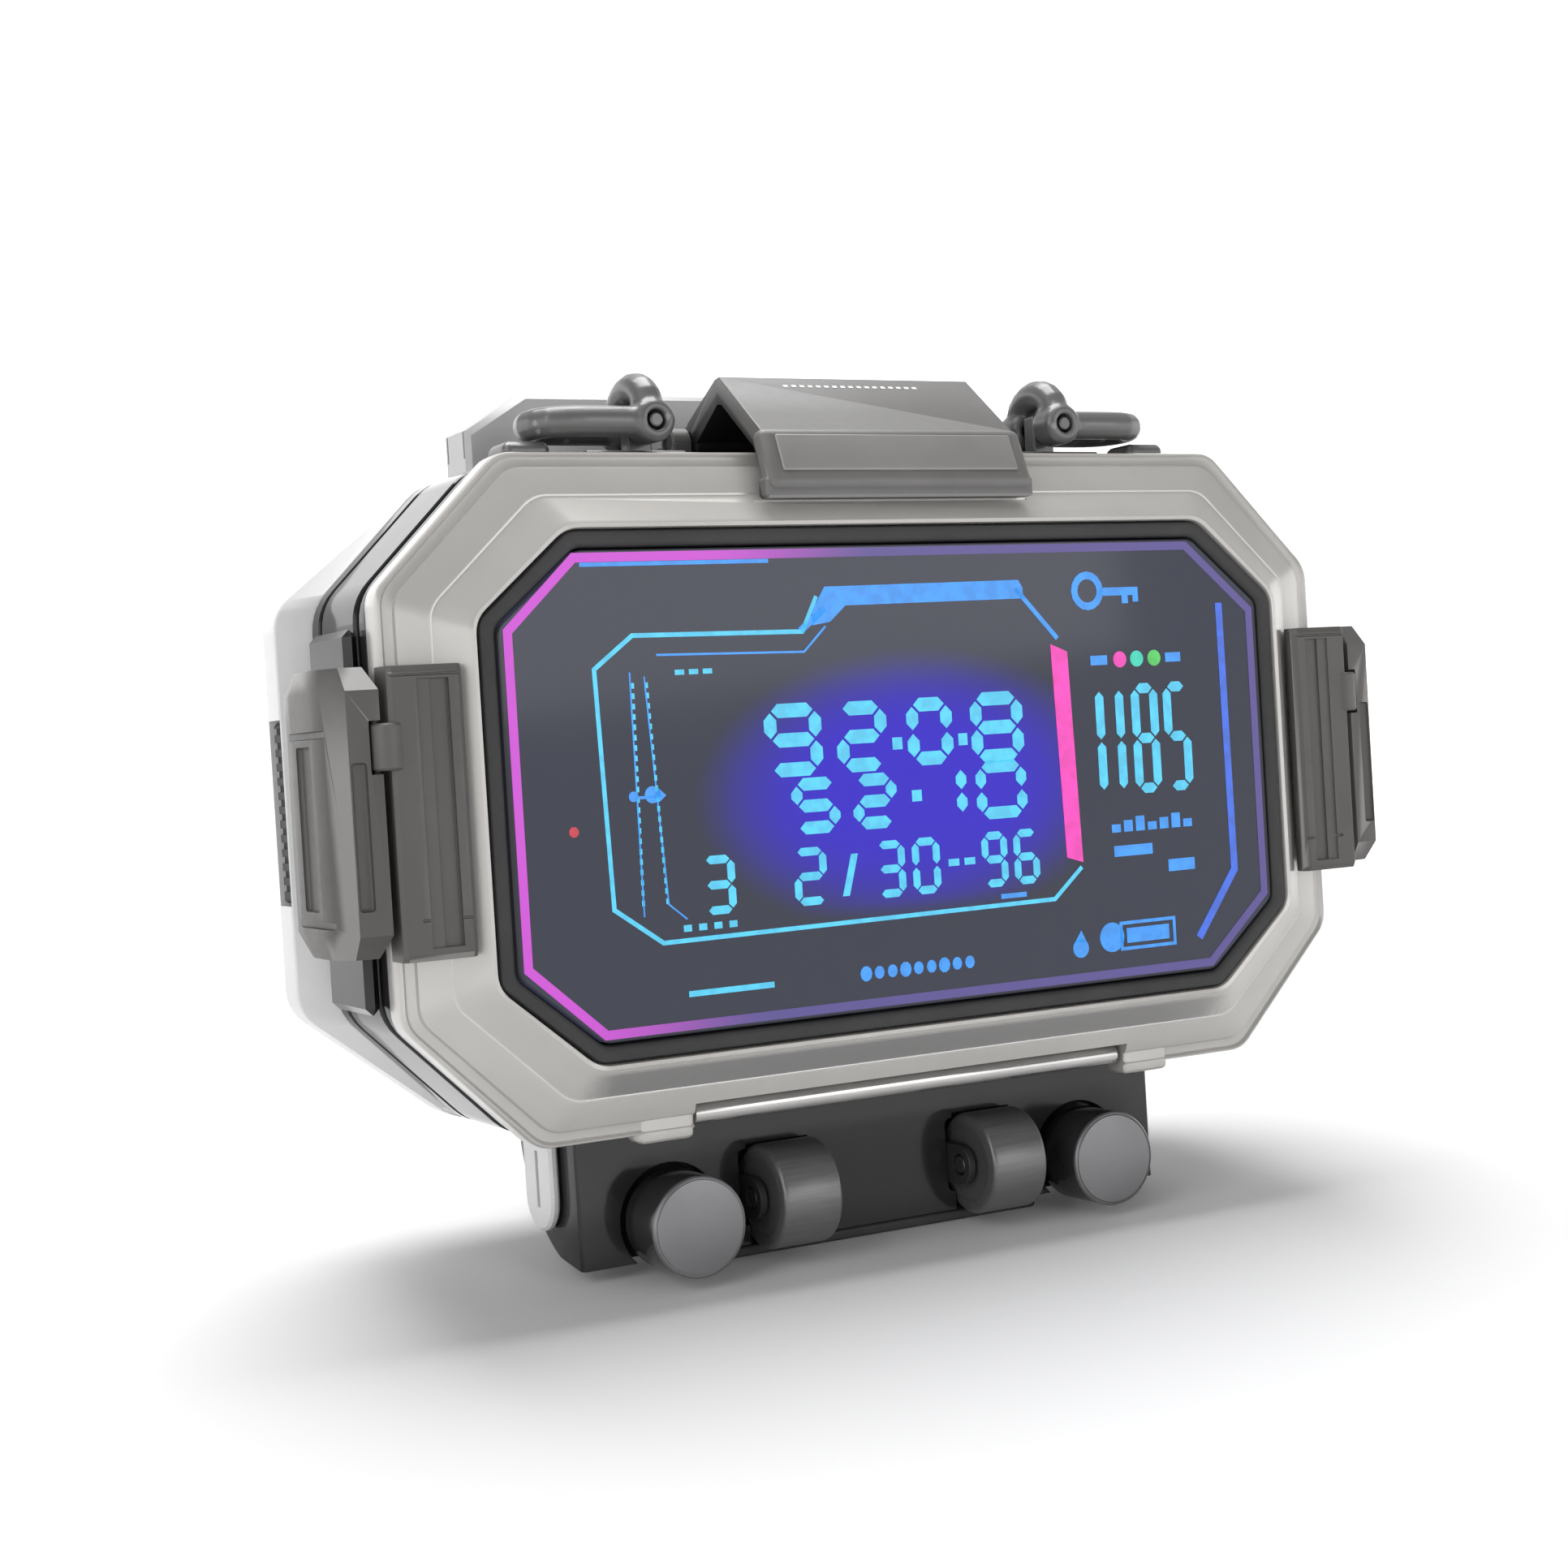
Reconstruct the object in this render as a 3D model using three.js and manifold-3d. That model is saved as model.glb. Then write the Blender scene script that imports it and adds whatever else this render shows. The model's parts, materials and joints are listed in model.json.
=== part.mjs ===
// Timegrapher: a leaning octagonal display case on a drum-shaped control plinth.
// Millimetres, +X to the right, +Y to the back, +Z up. The origin is the middle of the
// front pad, on the surface that the timegrapher stands on.
import * as THREE from "three";
import { ConvexGeometry } from "three/addons/geometries/ConvexGeometry.js";
import { mergeVertices } from "three/addons/utils/BufferGeometryUtils.js";
import Module from "manifold-3d";

const wasm = await Module();
wasm.setup();

// ---- Driving dimensions ----------------------------------------------------------------
const GAP = 0.3; // clearance between pieces that rest on each other
const PLAY = 0.4; // clearance round pieces that turn or slide
const LEAN = THREE.MathUtils.degToRad(7.5);

// Screen opening and the case outline: half sizes, and the corner cuts along X and Z.
const SCREEN = { x: 65, z: 35.3, cutX: 13.3, cutZ: 11.5 };
const CASE = { x: 76.8, z: 46.2, cutX: 17.9, cutZ: 18 };
const LIP = 1.4; // width of the frame's lip round the gasket
const SLOPE = 5; // width of the slope from the lip to the crease
const CREASE_Y = 3;
const RIM_Y = 5.3;
const BEZEL_BACK = 9.5;
const BEZEL_WALL = 4.4;
const GASKET = 2.4; // width of the dark gasket round the pane
const PANE = 1.6;
const PANEL = 4; // thickness of the display module
const BOARD = 1.6; // thickness of a circuit board
const BODY_INSET = 0.6;
const BODY_WALL = 3;
const SEAL = 1;
const BODY_BACK = 34;
const SHELL_BACK = BODY_BACK + 10;
const SHELL_WALL = 3;
const FLARE = { wide: 4.6, deep: 2.2 }; // how far the rear shell spreads past the body, and over what depth
const PANEL_BACK = SHELL_BACK + 6.7;
const PANEL_INSET = 2.2;
const COVER = { x: 30, low: -14, high: 26, thick: 2, proud: 0.5 };
const BATTERY = { front: BODY_BACK - 12, back: BODY_BACK + 4 };
const SCREW = { x: CASE.x - 12.8, z: 21, head: 3.2, depth: 1.8 };
const GRIP = { half: 13, depth: 1.8, front: BODY_BACK + 2.6, back: SHELL_BACK - 2.6 };

// Top deck.
const LATCH = { half: 20.8, wall: 3.4, pinY: 24.5, pinZ: CASE.z + 3.8, pinR: 1.3, knuckle: 2.8 };
LATCH.lip = LATCH.half + 1.2;
const lipLow = SCREEN.z + GASKET + 1.5; // the latch's lip hangs to just above the gasket
const LATCH_OUTER = { lipY: -1, lipLow, lipHigh: lipLow + 2.3, browY: 1.8, browZ: CASE.z + 2.3,
  topY: 13.5, topZ: CASE.z + 11.8 };
const SADDLE = { x: 26, front: 11.4, back: 21.7, thick: 1 };
const SENSOR_R = 4;
const RING = { x: LATCH.half + 13.2, near: 9.6, far: 19, z: CASE.z + 4.8, rod: 2.2, arch: 5.2, reach: 15.8,
  boss: 3.1, pin: 1.1, post: 1.9 };
RING.top = RING.z + RING.arch;
const RIDGE_BLOCK = { base: 49, shoulder: 43, top: 40, low: CASE.z + 7.8, mid: CASE.z + 11.4,
  high: CASE.z + 13.3, front: BODY_BACK + 6.4, back: PANEL_BACK - 1.1 };

// Side clasps.
const CLASP = { high: 18.5, low: -18.5, outer: CASE.x + 9.2, pinX: CASE.x + 5, pinY: 19.5, knuckle: 2.3,
  pinR: 1.1 };
const CLASP_BASE = { thick: 2, front: 13, back: 29, high: 24, low: -27 };
const HOOK = { inner: SCREEN.x + 3, outer: CASE.x + 1.4, front: -2, high: 18.4, low: -19.2, knuckleZ: 8.2,
  knuckle: 2.2 };

// Control plinth.
const DRUM = { half: 49, face: 16.5, axisZ: 0.2 - CASE.z, r: 21, wall: 5, end: 4, corner: 3 };
const drumLow = DRUM.axisZ - DRUM.r;
const CAP = { front: 21.8, back: 31.6, bottom: drumLow + 5.6, thick: 1.4 };
const KNOB = { x: 35, r: 7.1, front: 7, travel: 2.2, recess: 2.9, stem: 3, stemEnd: 22.3 };
KNOB.z = drumLow + KNOB.r - 0.4;
const CONTROL = { back: 8.9 }; // how far the control board's back is behind the drum's face
const SWITCH = { depth: 3.6, half: 4, high: 3.4 };
const WHEEL = { near: 12.8, far: 22.2, r: 7.5, y: 13.4, axle: 1.4, ear: 1.1 };
WHEEL.z = drumLow + WHEEL.r + 0.7;
const ROD = { half: 35.6, r: 1.5, y: 6.6, z: 1.8 - CASE.z };
const CLIP = { inner: 36, outer: 44, bottom: -CASE.z - 1.4 };
const PAD = { inset: 1, thick: 1.6 }; // inset: room between the pad's ends and the knobs
const DRUM_CUT = 1.2; // height of the level flat that is cut under the drum
const STAND = { half: 21, pinY: PANEL_BACK + 4.1, pinZ: 5.7 - CASE.z, r: 3, pin: 1.3, thick: 4.4, foot: 9 };

// Where the floor is, seen from the middle of the screen, and where the pad's middle is.
const cos = Math.cos(LEAN);
const sin = Math.sin(LEAN);
const drumAxisY = (DRUM.face + 0.1) * cos + DRUM.axisZ * sin;
const drumAxisZ = DRUM.axisZ * cos - (DRUM.face + 0.1) * sin;
const flatZ = drumAxisZ - DRUM.r + DRUM_CUT;
const flatHalf = Math.sqrt(DRUM.r ** 2 - (DRUM.r - DRUM_CUT) ** 2);
const flatFront = drumAxisY - 2.4;
const flatBack = drumAxisY + flatHalf - 0.4;
const padY = (flatFront + flatBack) / 2;
const floorZ = flatZ - GAP - PAD.thick;

// ---- Geometry helpers --------------------------------------------------------------------
function toSolid(geometry) {
  const bare = geometry.clone();
  bare.deleteAttribute("normal");
  bare.deleteAttribute("uv");
  const merged = mergeVertices(bare, 1e-4);
  const mesh = new wasm.Mesh({
    numProp: 3,
    vertProperties: new Float32Array(merged.attributes.position.array),
    triVerts: new Uint32Array(merged.index.array),
  });
  return new wasm.Manifold(mesh);
}

function toGeometry(solid) {
  const mesh = solid.getMesh();
  const geometry = new THREE.BufferGeometry();
  geometry.setAttribute("position", new THREE.BufferAttribute(new Float32Array(mesh.vertProperties), 3));
  geometry.setIndex(new THREE.BufferAttribute(new Uint32Array(mesh.triVerts), 1));
  geometry.computeVertexNormals();
  return geometry;
}

// The convex solid round a list of [x, y, z] points.
function hull(points) {
  return toSolid(new ConvexGeometry(points.map((p) => new THREE.Vector3(...p))));
}

function grow(outline, by) {
  const corner = by * (2 - Math.SQRT2);
  return { x: outline.x + by, z: outline.z + by, cutX: outline.cutX + corner, cutZ: outline.cutZ + corner };
}

function octagon({ x, z, cutX, cutZ }, y) {
  const quarter = [[x, z - cutZ], [x - cutX, z]];
  return [1, -1].flatMap((sx) => [1, -1].flatMap((sz) => quarter.map(([px, pz]) => [sx * px, y, sz * pz])));
}

function octagonSlab(front, frontY, back, backY) {
  return hull([...octagon(front, frontY), ...octagon(back, backY)]);
}

// A box between two corners, with all its edges cut by `cut`.
function block(x0, x1, y0, y1, z0, z1, cut = 0.4) {
  const points = [];
  for (const [x, inX] of [[x0, cut], [x1, -cut]])
    for (const [y, inY] of [[y0, cut], [y1, -cut]])
      for (const [z, inZ] of [[z0, cut], [z1, -cut]])
        points.push([x, y + inY, z + inZ], [x + inX, y, z + inZ], [x + inX, y + inY, z]);
  return hull(points);
}

// A round bar along one axis, from `from` to `to`, with edges cut by `cut`.
function bar(axis, r, from, to, a, b, cut = 0.3, sides = 20) {
  const half = (to - from) / 2;
  const profile = [[0, -half], [r - cut, -half], [r, cut - half], [r, half - cut], [r - cut, half], [0, half]];
  const lathe = new THREE.LatheGeometry(profile.map(([px, py]) => new THREE.Vector2(px, py)), sides);
  const middle = (from + to) / 2;
  if (axis === "x") lathe.rotateZ(-Math.PI / 2).translate(middle, a, b);
  if (axis === "y") lathe.translate(a, middle, b);
  if (axis === "z") lathe.rotateX(Math.PI / 2).translate(a, b, middle);
  return toSolid(lathe);
}

// A flat outline of [a, b] points, extruded along X from x0 to x1; a is Y and b is Z.
function extrudeX(points, x0, x1) {
  const shape = new THREE.Shape(points.map(([a, b]) => new THREE.Vector2(a, b)));
  const geometry = new THREE.ExtrudeGeometry(shape, { depth: x1 - x0, bevelEnabled: false });
  const turn = new THREE.Matrix4().makeBasis(
    new THREE.Vector3(0, 1, 0), new THREE.Vector3(0, 0, 1), new THREE.Vector3(1, 0, 0));
  geometry.applyMatrix4(turn).translate(x0, 0, 0);
  return toSolid(geometry);
}

// A round rod along a smooth curve through the given points.
function rod(points, r, steps) {
  const section = new THREE.Shape();
  section.absarc(0, 0, r, 0, 2 * Math.PI);
  const path = new THREE.CatmullRomCurve3(points.map((p) => new THREE.Vector3(...p)), false, "centripetal");
  return toSolid(new THREE.ExtrudeGeometry(section, { steps, curveSegments: 5, extrudePath: path }));
}

function arcPoints(count, from, to, place) {
  return Array.from({ length: count + 1 }, (_, i) => place(from + ((to - from) * i) / count));
}

function level([x, y, z]) {
  return [x, y * cos - z * sin, z * cos + y * sin];
}

// ---- Materials -----------------------------------------------------------------------------
function finish(color, roughness, metalness = 0) {
  return new THREE.MeshStandardMaterial({ color, roughness, metalness });
}
const silver = finish(0xbebbb7, 0.35, 0.1);
const pearl = finish(0xe2e2e2, 0.4);
const gloss = finish(0x3c3c3d, 0.12);
const clasp = finish(0x67635f, 0.5);
const latchGrey = finish(0x7b7978, 0.45);
const ringGrey = finish(0x6d6c6c, 0.38, 0.2);
const knobMetal = finish(0x7d7b7d, 0.3, 0.6);
const steel = finish(0xb8b8ba, 0.25, 1);
const rubber = finish(0x2c2c2c, 0.85);
const glass = finish(0x30343c, 0.05);
const screenBlue = finish(0x3a30c8, 0.3);
const boardGreen = finish(0x1f5a3a, 0.6);
const cell = finish(0x46505a, 0.5);

const timegrapher = new THREE.Group();
const caseGroup = new THREE.Group();
caseGroup.rotation.x = -LEAN;
caseGroup.position.set(0, -padY, -floorZ);
timegrapher.add(caseGroup);

function add(name, solid, material, group = caseGroup) {
  const mesh = new THREE.Mesh(toGeometry(solid), material);
  mesh.name = name;
  group.add(mesh);
}
function cut(solid, ...tools) {
  return tools.reduce((left, tool) => left.subtract(tool), solid);
}
function join(...solids) {
  return solids.reduce((all, next) => all.add(next));
}
const SIDES = [["left", -1], ["right", 1]];
// A block whose X range is given outwards from the middle, on one side.
function sideBlock(side, x0, x1, ...rest) {
  return block(Math.min(side * x0, side * x1), Math.max(side * x0, side * x1), ...rest);
}
function sideHull(side, points) {
  return hull(points.map(([x, y, z]) => [side * x, y, z]));
}

// ---- Case: frame, window, boards, body and rear shell ---------------------------------------
const lipOut = grow(SCREEN, LIP);
const crease = grow(SCREEN, SLOPE);
const opening = grow(SCREEN, GAP);
const pocket = grow(CASE, -BEZEL_WALL);
const gasketIn = grow(SCREEN, -GASKET);
const pane = grow(gasketIn, -GAP);

function frontBezel() {
  const outside = join(
    octagonSlab(lipOut, -0.5, crease, CREASE_Y),
    octagonSlab(crease, CREASE_Y, CASE, RIM_Y),
    octagonSlab(CASE, RIM_Y, CASE, BEZEL_BACK),
  );
  const clips = SIDES.map(([, side]) =>
    sideBlock(side, CLIP.inner, CLIP.outer, RIM_Y, BEZEL_BACK, CLIP.bottom, -CASE.z + 2, 0.8));
  const latchBed = LATCH.lip + 0.8;
  return cut(
    join(outside, ...clips),
    octagonSlab(opening, -2, opening, 6),
    octagonSlab(pocket, 5.6, pocket, BEZEL_BACK + 1),
    block(-latchBed, latchBed, -2, 2.2, LATCH_OUTER.lipLow - GAP, CASE.z + 1, 0.1),
    block(-CLIP.inner - GAP, CLIP.inner + GAP, RIM_Y - 1.5, BEZEL_BACK + 1, -CASE.z - 2, ROD.z + ROD.r + GAP, 0.1),
  );
}
add("front_bezel", frontBezel(), silver);

add("window_gasket", cut(octagonSlab(SCREEN, -0.3, SCREEN, 5), octagonSlab(gasketIn, -1, gasketIn, 6)), rubber);
add("front_window", octagonSlab(pane, 0, pane, PANE), glass);
add("display_panel", octagonSlab(pane, PANE + GAP, pane, PANE + GAP + PANEL), screenBlue);
const boardFront = PANE + 2 * GAP + PANEL;
add("main_board", block(-SCREEN.x + 9, SCREEN.x - 9, boardFront + 1, boardFront + 1 + BOARD,
  -SCREEN.z + 3.3, SCREEN.z - 3.3, 0.2), boardGreen);

const body = grow(CASE, -BODY_INSET);
const bodyIn = grow(body, -BODY_WALL);
const sealFront = BEZEL_BACK + GAP;
const bodyFront = sealFront + SEAL + GAP;
const seal = grow(body, -0.8);
add("body_gasket", cut(
  octagonSlab(seal, sealFront, seal, sealFront + SEAL),
  octagonSlab(bodyIn, sealFront - 1, bodyIn, bodyFront)), rubber);
add("mid_body", cut(
  octagonSlab(body, bodyFront, body, BODY_BACK),
  octagonSlab(bodyIn, bodyFront - 1, bodyIn, BODY_BACK + 1)), gloss);

const shellFront = BODY_BACK + GAP;
const shellIn = grow(body, -SHELL_WALL);
const shellOut = { ...body, x: body.x + FLARE.wide, cutX: body.cutX + FLARE.wide };
function rearShell() {
  const grips = SIDES.map(([, side]) =>
    sideBlock(side, shellOut.x - GRIP.depth, shellOut.x + 2, GRIP.front, GRIP.back, -GRIP.half, GRIP.half, 0.5));
  return cut(
    join(
      octagonSlab(body, shellFront, shellOut, shellFront + FLARE.deep),
      octagonSlab(shellOut, shellFront + FLARE.deep, shellOut, SHELL_BACK),
    ),
    octagonSlab(shellIn, shellFront - 1, shellIn, SHELL_BACK - SHELL_WALL),
    ...grips,
  );
}
add("rear_shell", rearShell(), pearl);
for (const [name, side] of SIDES)
  add(`grip_${name}`, sideBlock(side, shellOut.x - GRIP.depth + GAP, shellOut.x - 0.4, GRIP.front + GAP,
    GRIP.back - GAP, -GRIP.half + GAP, GRIP.half - GAP, 0.5), rubber);

const rearPanel = grow(body, -PANEL_INSET);
const rearEdge = grow(rearPanel, -1.2);
const coverFront = PANEL_BACK - COVER.thick;
function rearPanelSolid() {
  const screws = screwPlaces().map(([x, z]) =>
    bar("y", SCREW.head + GAP, PANEL_BACK - SCREW.depth - GAP, PANEL_BACK + 1, x, z, 0.1, 16));
  return cut(
    join(
      octagonSlab(rearPanel, SHELL_BACK + GAP, rearPanel, PANEL_BACK - 1.2),
      octagonSlab(rearPanel, PANEL_BACK - 1.2, rearEdge, PANEL_BACK),
    ),
    block(-COVER.x - GAP, COVER.x + GAP, coverFront - GAP, PANEL_BACK + 1,
      COVER.low - GAP, COVER.high + GAP, 0.05),
    ...screws,
  );
}
function screwPlaces() {
  return [-1, 1].flatMap((sx) => [-1, 1].map((sz) => [sx * SCREW.x, sz * SCREW.z]));
}
add("rear_panel", rearPanelSolid(), pearl);
add("battery_cover", block(-COVER.x, COVER.x, coverFront, PANEL_BACK + COVER.proud, COVER.low, COVER.high, 0.5), pearl);
screwPlaces().forEach(([x, z], i) => {
  const head = bar("y", SCREW.head, PANEL_BACK - SCREW.depth, PANEL_BACK, x, z, 0.3, 16);
  const slot = block(x - SCREW.head, x + SCREW.head, PANEL_BACK - 0.7, PANEL_BACK + 1, z - 0.4, z + 0.4, 0.05);
  add(`rear_screw_${i + 1}`, cut(head, slot), steel);
});
add("battery_pack", block(-COVER.x, COVER.x, BATTERY.front, BATTERY.back, COVER.low, COVER.high, 1.5), cell);

function ridgeBlock() {
  const half = [[RIDGE_BLOCK.base, CASE.z + GAP], [RIDGE_BLOCK.base, RIDGE_BLOCK.low],
    [RIDGE_BLOCK.shoulder, RIDGE_BLOCK.mid], [RIDGE_BLOCK.top, RIDGE_BLOCK.high]];
  const outline = (inset, y) => [-1, 1].flatMap((sx) =>
    half.map(([x, z]) => [sx * (x - inset), y, z === half[0][1] ? z : z - inset]));
  return hull([
    ...outline(0.8, RIDGE_BLOCK.front), ...outline(0, RIDGE_BLOCK.front + 0.8),
    ...outline(0, RIDGE_BLOCK.back - 0.8), ...outline(0.8, RIDGE_BLOCK.back)]);
}
add("rear_top_block", ridgeBlock(), pearl);

// ---- Top deck: saddle, sensor, bridge latch and rings ------------------------------------------
const deck = body.z + GAP;
const sensorTop = deck + SADDLE.thick;
add("top_saddle", cut(
  block(-SADDLE.x, SADDLE.x, SADDLE.front, SADDLE.back, deck, sensorTop, 0.3),
  bar("z", SENSOR_R + GAP, deck - 1, sensorTop + 1, 0, (SADDLE.front + SADDLE.back) / 2, 0.1)), ringGrey);
add("acoustic_sensor", cut(
  bar("z", SENSOR_R, deck, sensorTop, 0, (SADDLE.front + SADDLE.back) / 2),
  bar("z", SENSOR_R - 1.6, sensorTop - 0.4, sensorTop + 1, 0, (SADDLE.front + SADDLE.back) / 2, 0.1)), steel);

function topLatch() {
  const o = LATCH_OUTER;
  const w = LATCH.wall;
  const outer = [[o.lipY, o.lipLow + 0.5], [o.lipY + 0.5, o.lipLow], [1.6, o.lipLow], [1.6, o.lipHigh],
    [4.4, o.browZ - 1.6], [o.topY - 0.2, o.topZ - w - 0.6], [o.topY + 1, o.topZ - w - 0.4],
    [LATCH.pinY - LATCH.knuckle - 1.3, LATCH.pinZ + 0.6], [LATCH.pinY, LATCH.pinZ - LATCH.knuckle + 0.8],
    [LATCH.pinY, LATCH.pinZ + LATCH.knuckle], [o.topY + 1.4, o.topZ - 0.2], [o.topY, o.topZ],
    [o.browY + 0.4, o.browZ + 0.5], [o.browY, o.browZ], [o.lipY, o.lipHigh]];
  const arch = extrudeX(outer, -LATCH.half, LATCH.half);
  const lip = block(-LATCH.lip, LATCH.lip, o.lipY, 1.6, o.lipLow, o.lipHigh + 0.6, 0.4);
  const knuckle = bar("x", LATCH.knuckle, -LATCH.half, LATCH.half, LATCH.pinY, LATCH.pinZ);
  const bore = bar("x", LATCH.pinR + PLAY, -LATCH.half - 1, LATCH.half + 1, LATCH.pinY, LATCH.pinZ, 0.1, 12);
  return cut(join(arch, lip, knuckle), bore);
}
add("top_latch", topLatch(), latchGrey);
const ear = { in: LATCH.half + PLAY, out: LATCH.half + PLAY + 3 };
function latchBlock() {
  const base = block(-ear.out, ear.out, LATCH.pinY - 2.2, LATCH.pinY + 4, deck, LATCH.pinZ - LATCH.knuckle - PLAY, 0.3);
  const ears = SIDES.map(([, side]) => join(
    sideBlock(side, ear.in, ear.out, LATCH.pinY - 2.2, LATCH.pinY + 4, deck, LATCH.pinZ, 0.3),
    bar("x", 2.2, Math.min(side * ear.in, side * ear.out), Math.max(side * ear.in, side * ear.out),
      LATCH.pinY, LATCH.pinZ)));
  return cut(join(base, ...ears),
    bar("x", LATCH.pinR + GAP, -ear.out - 1, ear.out + 1, LATCH.pinY, LATCH.pinZ, 0.1, 12));
}
add("latch_hinge_block", latchBlock(), latchGrey);
add("latch_pin", bar("x", LATCH.pinR, -ear.out + 0.3, ear.out - 0.3, LATCH.pinY, LATCH.pinZ, 0.2, 12), steel);

const ringMid = (RING.near + RING.far) / 2;
function lug(side) {
  const base = sideBlock(side, RING.x - 6.5, RING.x + 9, RING.near + 1.8, RING.far + 3, deck, deck + 1.4, 0.3);
  const post = sideBlock(side, RING.x - RING.post, RING.x + RING.post, ringMid - 1.3, ringMid + 1.3,
    deck + 1, RING.z + RING.post, 0.3);
  return cut(join(base, post), bar("y", RING.pin + GAP, ringMid - 5, ringMid + 5, side * RING.x, RING.z, 0.1, 12));
}
function ring(side) {
  const outer = RING.x + RING.reach;
  const bend = (RING.far - RING.near) / 2;
  const flat = arcPoints(6, -Math.PI / 2, Math.PI / 2, (a) =>
    [side * (outer - bend + bend * Math.cos(a)), ringMid + bend * Math.sin(a), RING.z]);
  const loop = rod([[side * RING.x, RING.near, RING.z], [side * (RING.x + 5), RING.near, RING.z], ...flat,
    [side * (RING.x + 5), RING.far, RING.z], [side * RING.x, RING.far, RING.z]], RING.rod, 18);
  const archR = bend * 0.8;
  const arch = rod([[side * RING.x, RING.near, RING.z - 0.2], [side * RING.x, RING.near + 0.1, RING.z + 1.8],
    ...arcPoints(6, Math.PI, 0, (a) =>
      [side * RING.x, ringMid + bend * Math.cos(a), RING.top - archR + archR * Math.sin(a)]),
    [side * RING.x, RING.far - 0.1, RING.z + 1.8], [side * RING.x, RING.far, RING.z - 0.2]], RING.rod + 0.1, 12);
  const bosses = [RING.near, RING.far].map((y) => bar("y", RING.boss, y - 2.7, y + 2.7, side * RING.x, RING.z, 0.8, 16));
  return cut(join(loop, arch, ...bosses),
    bar("y", RING.pin + PLAY, RING.near - 5, RING.far + 5, side * RING.x, RING.z, 0.1, 12));
}
for (const [name, side] of SIDES) {
  add(`lug_${name}`, lug(side), ringGrey);
  add(`ring_pin_${name}`, bar("y", RING.pin, RING.near - 2.4, RING.far + 2.4, side * RING.x, RING.z, 0.2, 12), steel);
  add(`ring_${name}`, ring(side), ringGrey);
  add(`ring_rest_${name}`, sideBlock(side, RING.x + RING.reach - 1.5, RING.x + RING.reach + 5.4, ringMid - 3.4,
    ringMid + 3.4, deck, RING.z - RING.rod - GAP, 0.8), ringGrey);
}

// ---- Side clasps ---------------------------------------------------------------------------------
const baseOut = body.x + GAP + CLASP_BASE.thick;
function claspBase(side) {
  const plate = sideBlock(side, body.x + GAP, baseOut, CLASP_BASE.front, CLASP_BASE.back, CLASP_BASE.low, CLASP_BASE.high, 1);
  const ears = [CLASP.high - 3.2, CLASP.low].map((z) => join(
    sideBlock(side, baseOut - 1, CLASP.pinX, CLASP.pinY - 1.9, CLASP.pinY + 1.9, z, z + 3.2, 0.2),
    bar("z", 1.9, z, z + 3.2, side * CLASP.pinX, CLASP.pinY, 0.2, 16)));
  return cut(join(plate, ...ears),
    bar("z", CLASP.pinR + GAP, CLASP.low - 2, CLASP.high + 2, side * CLASP.pinX, CLASP.pinY, 0.1, 12));
}
function claspLever(side) {
  const inner = body.x + 2.6;
  const profile = [[inner + 0.4, -1.2], [CLASP.outer - 2.6, -0.6], [CLASP.outer - 0.4, 3.4], [CLASP.outer, 6],
    [CLASP.outer, 14.5], [CLASP.outer - 1.6, CLASP.pinY + 2.4], [inner + 1.6, CLASP.pinY - 3], [inner + 0.4, 4]];
  const middle = { x: profile.reduce((s, p) => s + p[0], 0) / profile.length, y: 9 };
  const at = (z, k) => profile.map(([x, y]) => [middle.x + (x - middle.x) * k, middle.y + (y - middle.y) * k, z]);
  const shell = sideHull(side, [...at(CLASP.low, 0.72), ...at(CLASP.low + 3, 1), ...at(CLASP.high - 3, 1), ...at(CLASP.high, 0.72)]);
  const eyes = bar("z", CLASP.knuckle, CLASP.low + 3.7, CLASP.high - 3.7, side * CLASP.pinX, CLASP.pinY, 0.2, 16);
  const earRoom = [CLASP.high - 3.6, CLASP.low - 2].map((z) =>
    sideBlock(side, inner - 2, CLASP.pinX + 2.5, CLASP.pinY - 2.6, CLASP.pinY + 4, z, z + 5.6, 0.1));
  const grooves = [10.2, -14].map((z) =>
    sideBlock(side, CLASP.outer - 0.7, CLASP.outer + 2, -3, CLASP.pinY + 4, z - 0.5, z + 0.5, 0.1));
  const knuckleRoom = bar("z", HOOK.knuckle + PLAY, HOOK.knuckleZ - 3.4, HOOK.knuckleZ + 3.4,
    side * HOOK.outer, HOOK.front + 1.6, 0.1, 16);
  return cut(join(shell, eyes), ...earRoom, ...grooves, knuckleRoom,
    bar("z", CLASP.pinR + PLAY, CLASP.low - 2, CLASP.high + 2, side * CLASP.pinX, CLASP.pinY, 0.1, 12));
}
function claspHook(side) {
  const onSlope = crease.x - 1.2;
  const section = [[HOOK.inner, HOOK.front + 0.9], [HOOK.inner + 0.8, HOOK.front], [HOOK.outer - 0.6, HOOK.front],
    [HOOK.outer, HOOK.front + 0.6], [HOOK.outer, CREASE_Y - 0.4], [onSlope, HOOK.front + 3.1]];
  const at = (z, inset) => section.map(([x, y]) => [x, y + inset, z]);
  const plate = sideHull(side, [...at(HOOK.low, 0.4), ...section.map(([x, y]) => [x, Math.min(y, 1), HOOK.low + 0.8]),
    ...section.map(([x, y]) => [x, Math.min(y, 1), HOOK.high - 0.8]), ...at(HOOK.high, 0.4)]);
  const face = octagonSlab(grow(lipOut, GAP), -0.5 - GAP, grow(crease, GAP), CREASE_Y - GAP);
  const flat = octagonSlab(grow(crease, GAP), CREASE_Y - GAP, grow(CASE, GAP), RIM_Y - GAP);
  const knuckle = bar("z", HOOK.knuckle, HOOK.knuckleZ - 3, HOOK.knuckleZ + 3, side * HOOK.outer, HOOK.front + 1.6, 0.3, 16);
  return cut(join(plate, knuckle), face, flat,
    octagonSlab(grow(CASE, GAP), RIM_Y - GAP, grow(CASE, GAP), BEZEL_BACK));
}
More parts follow.
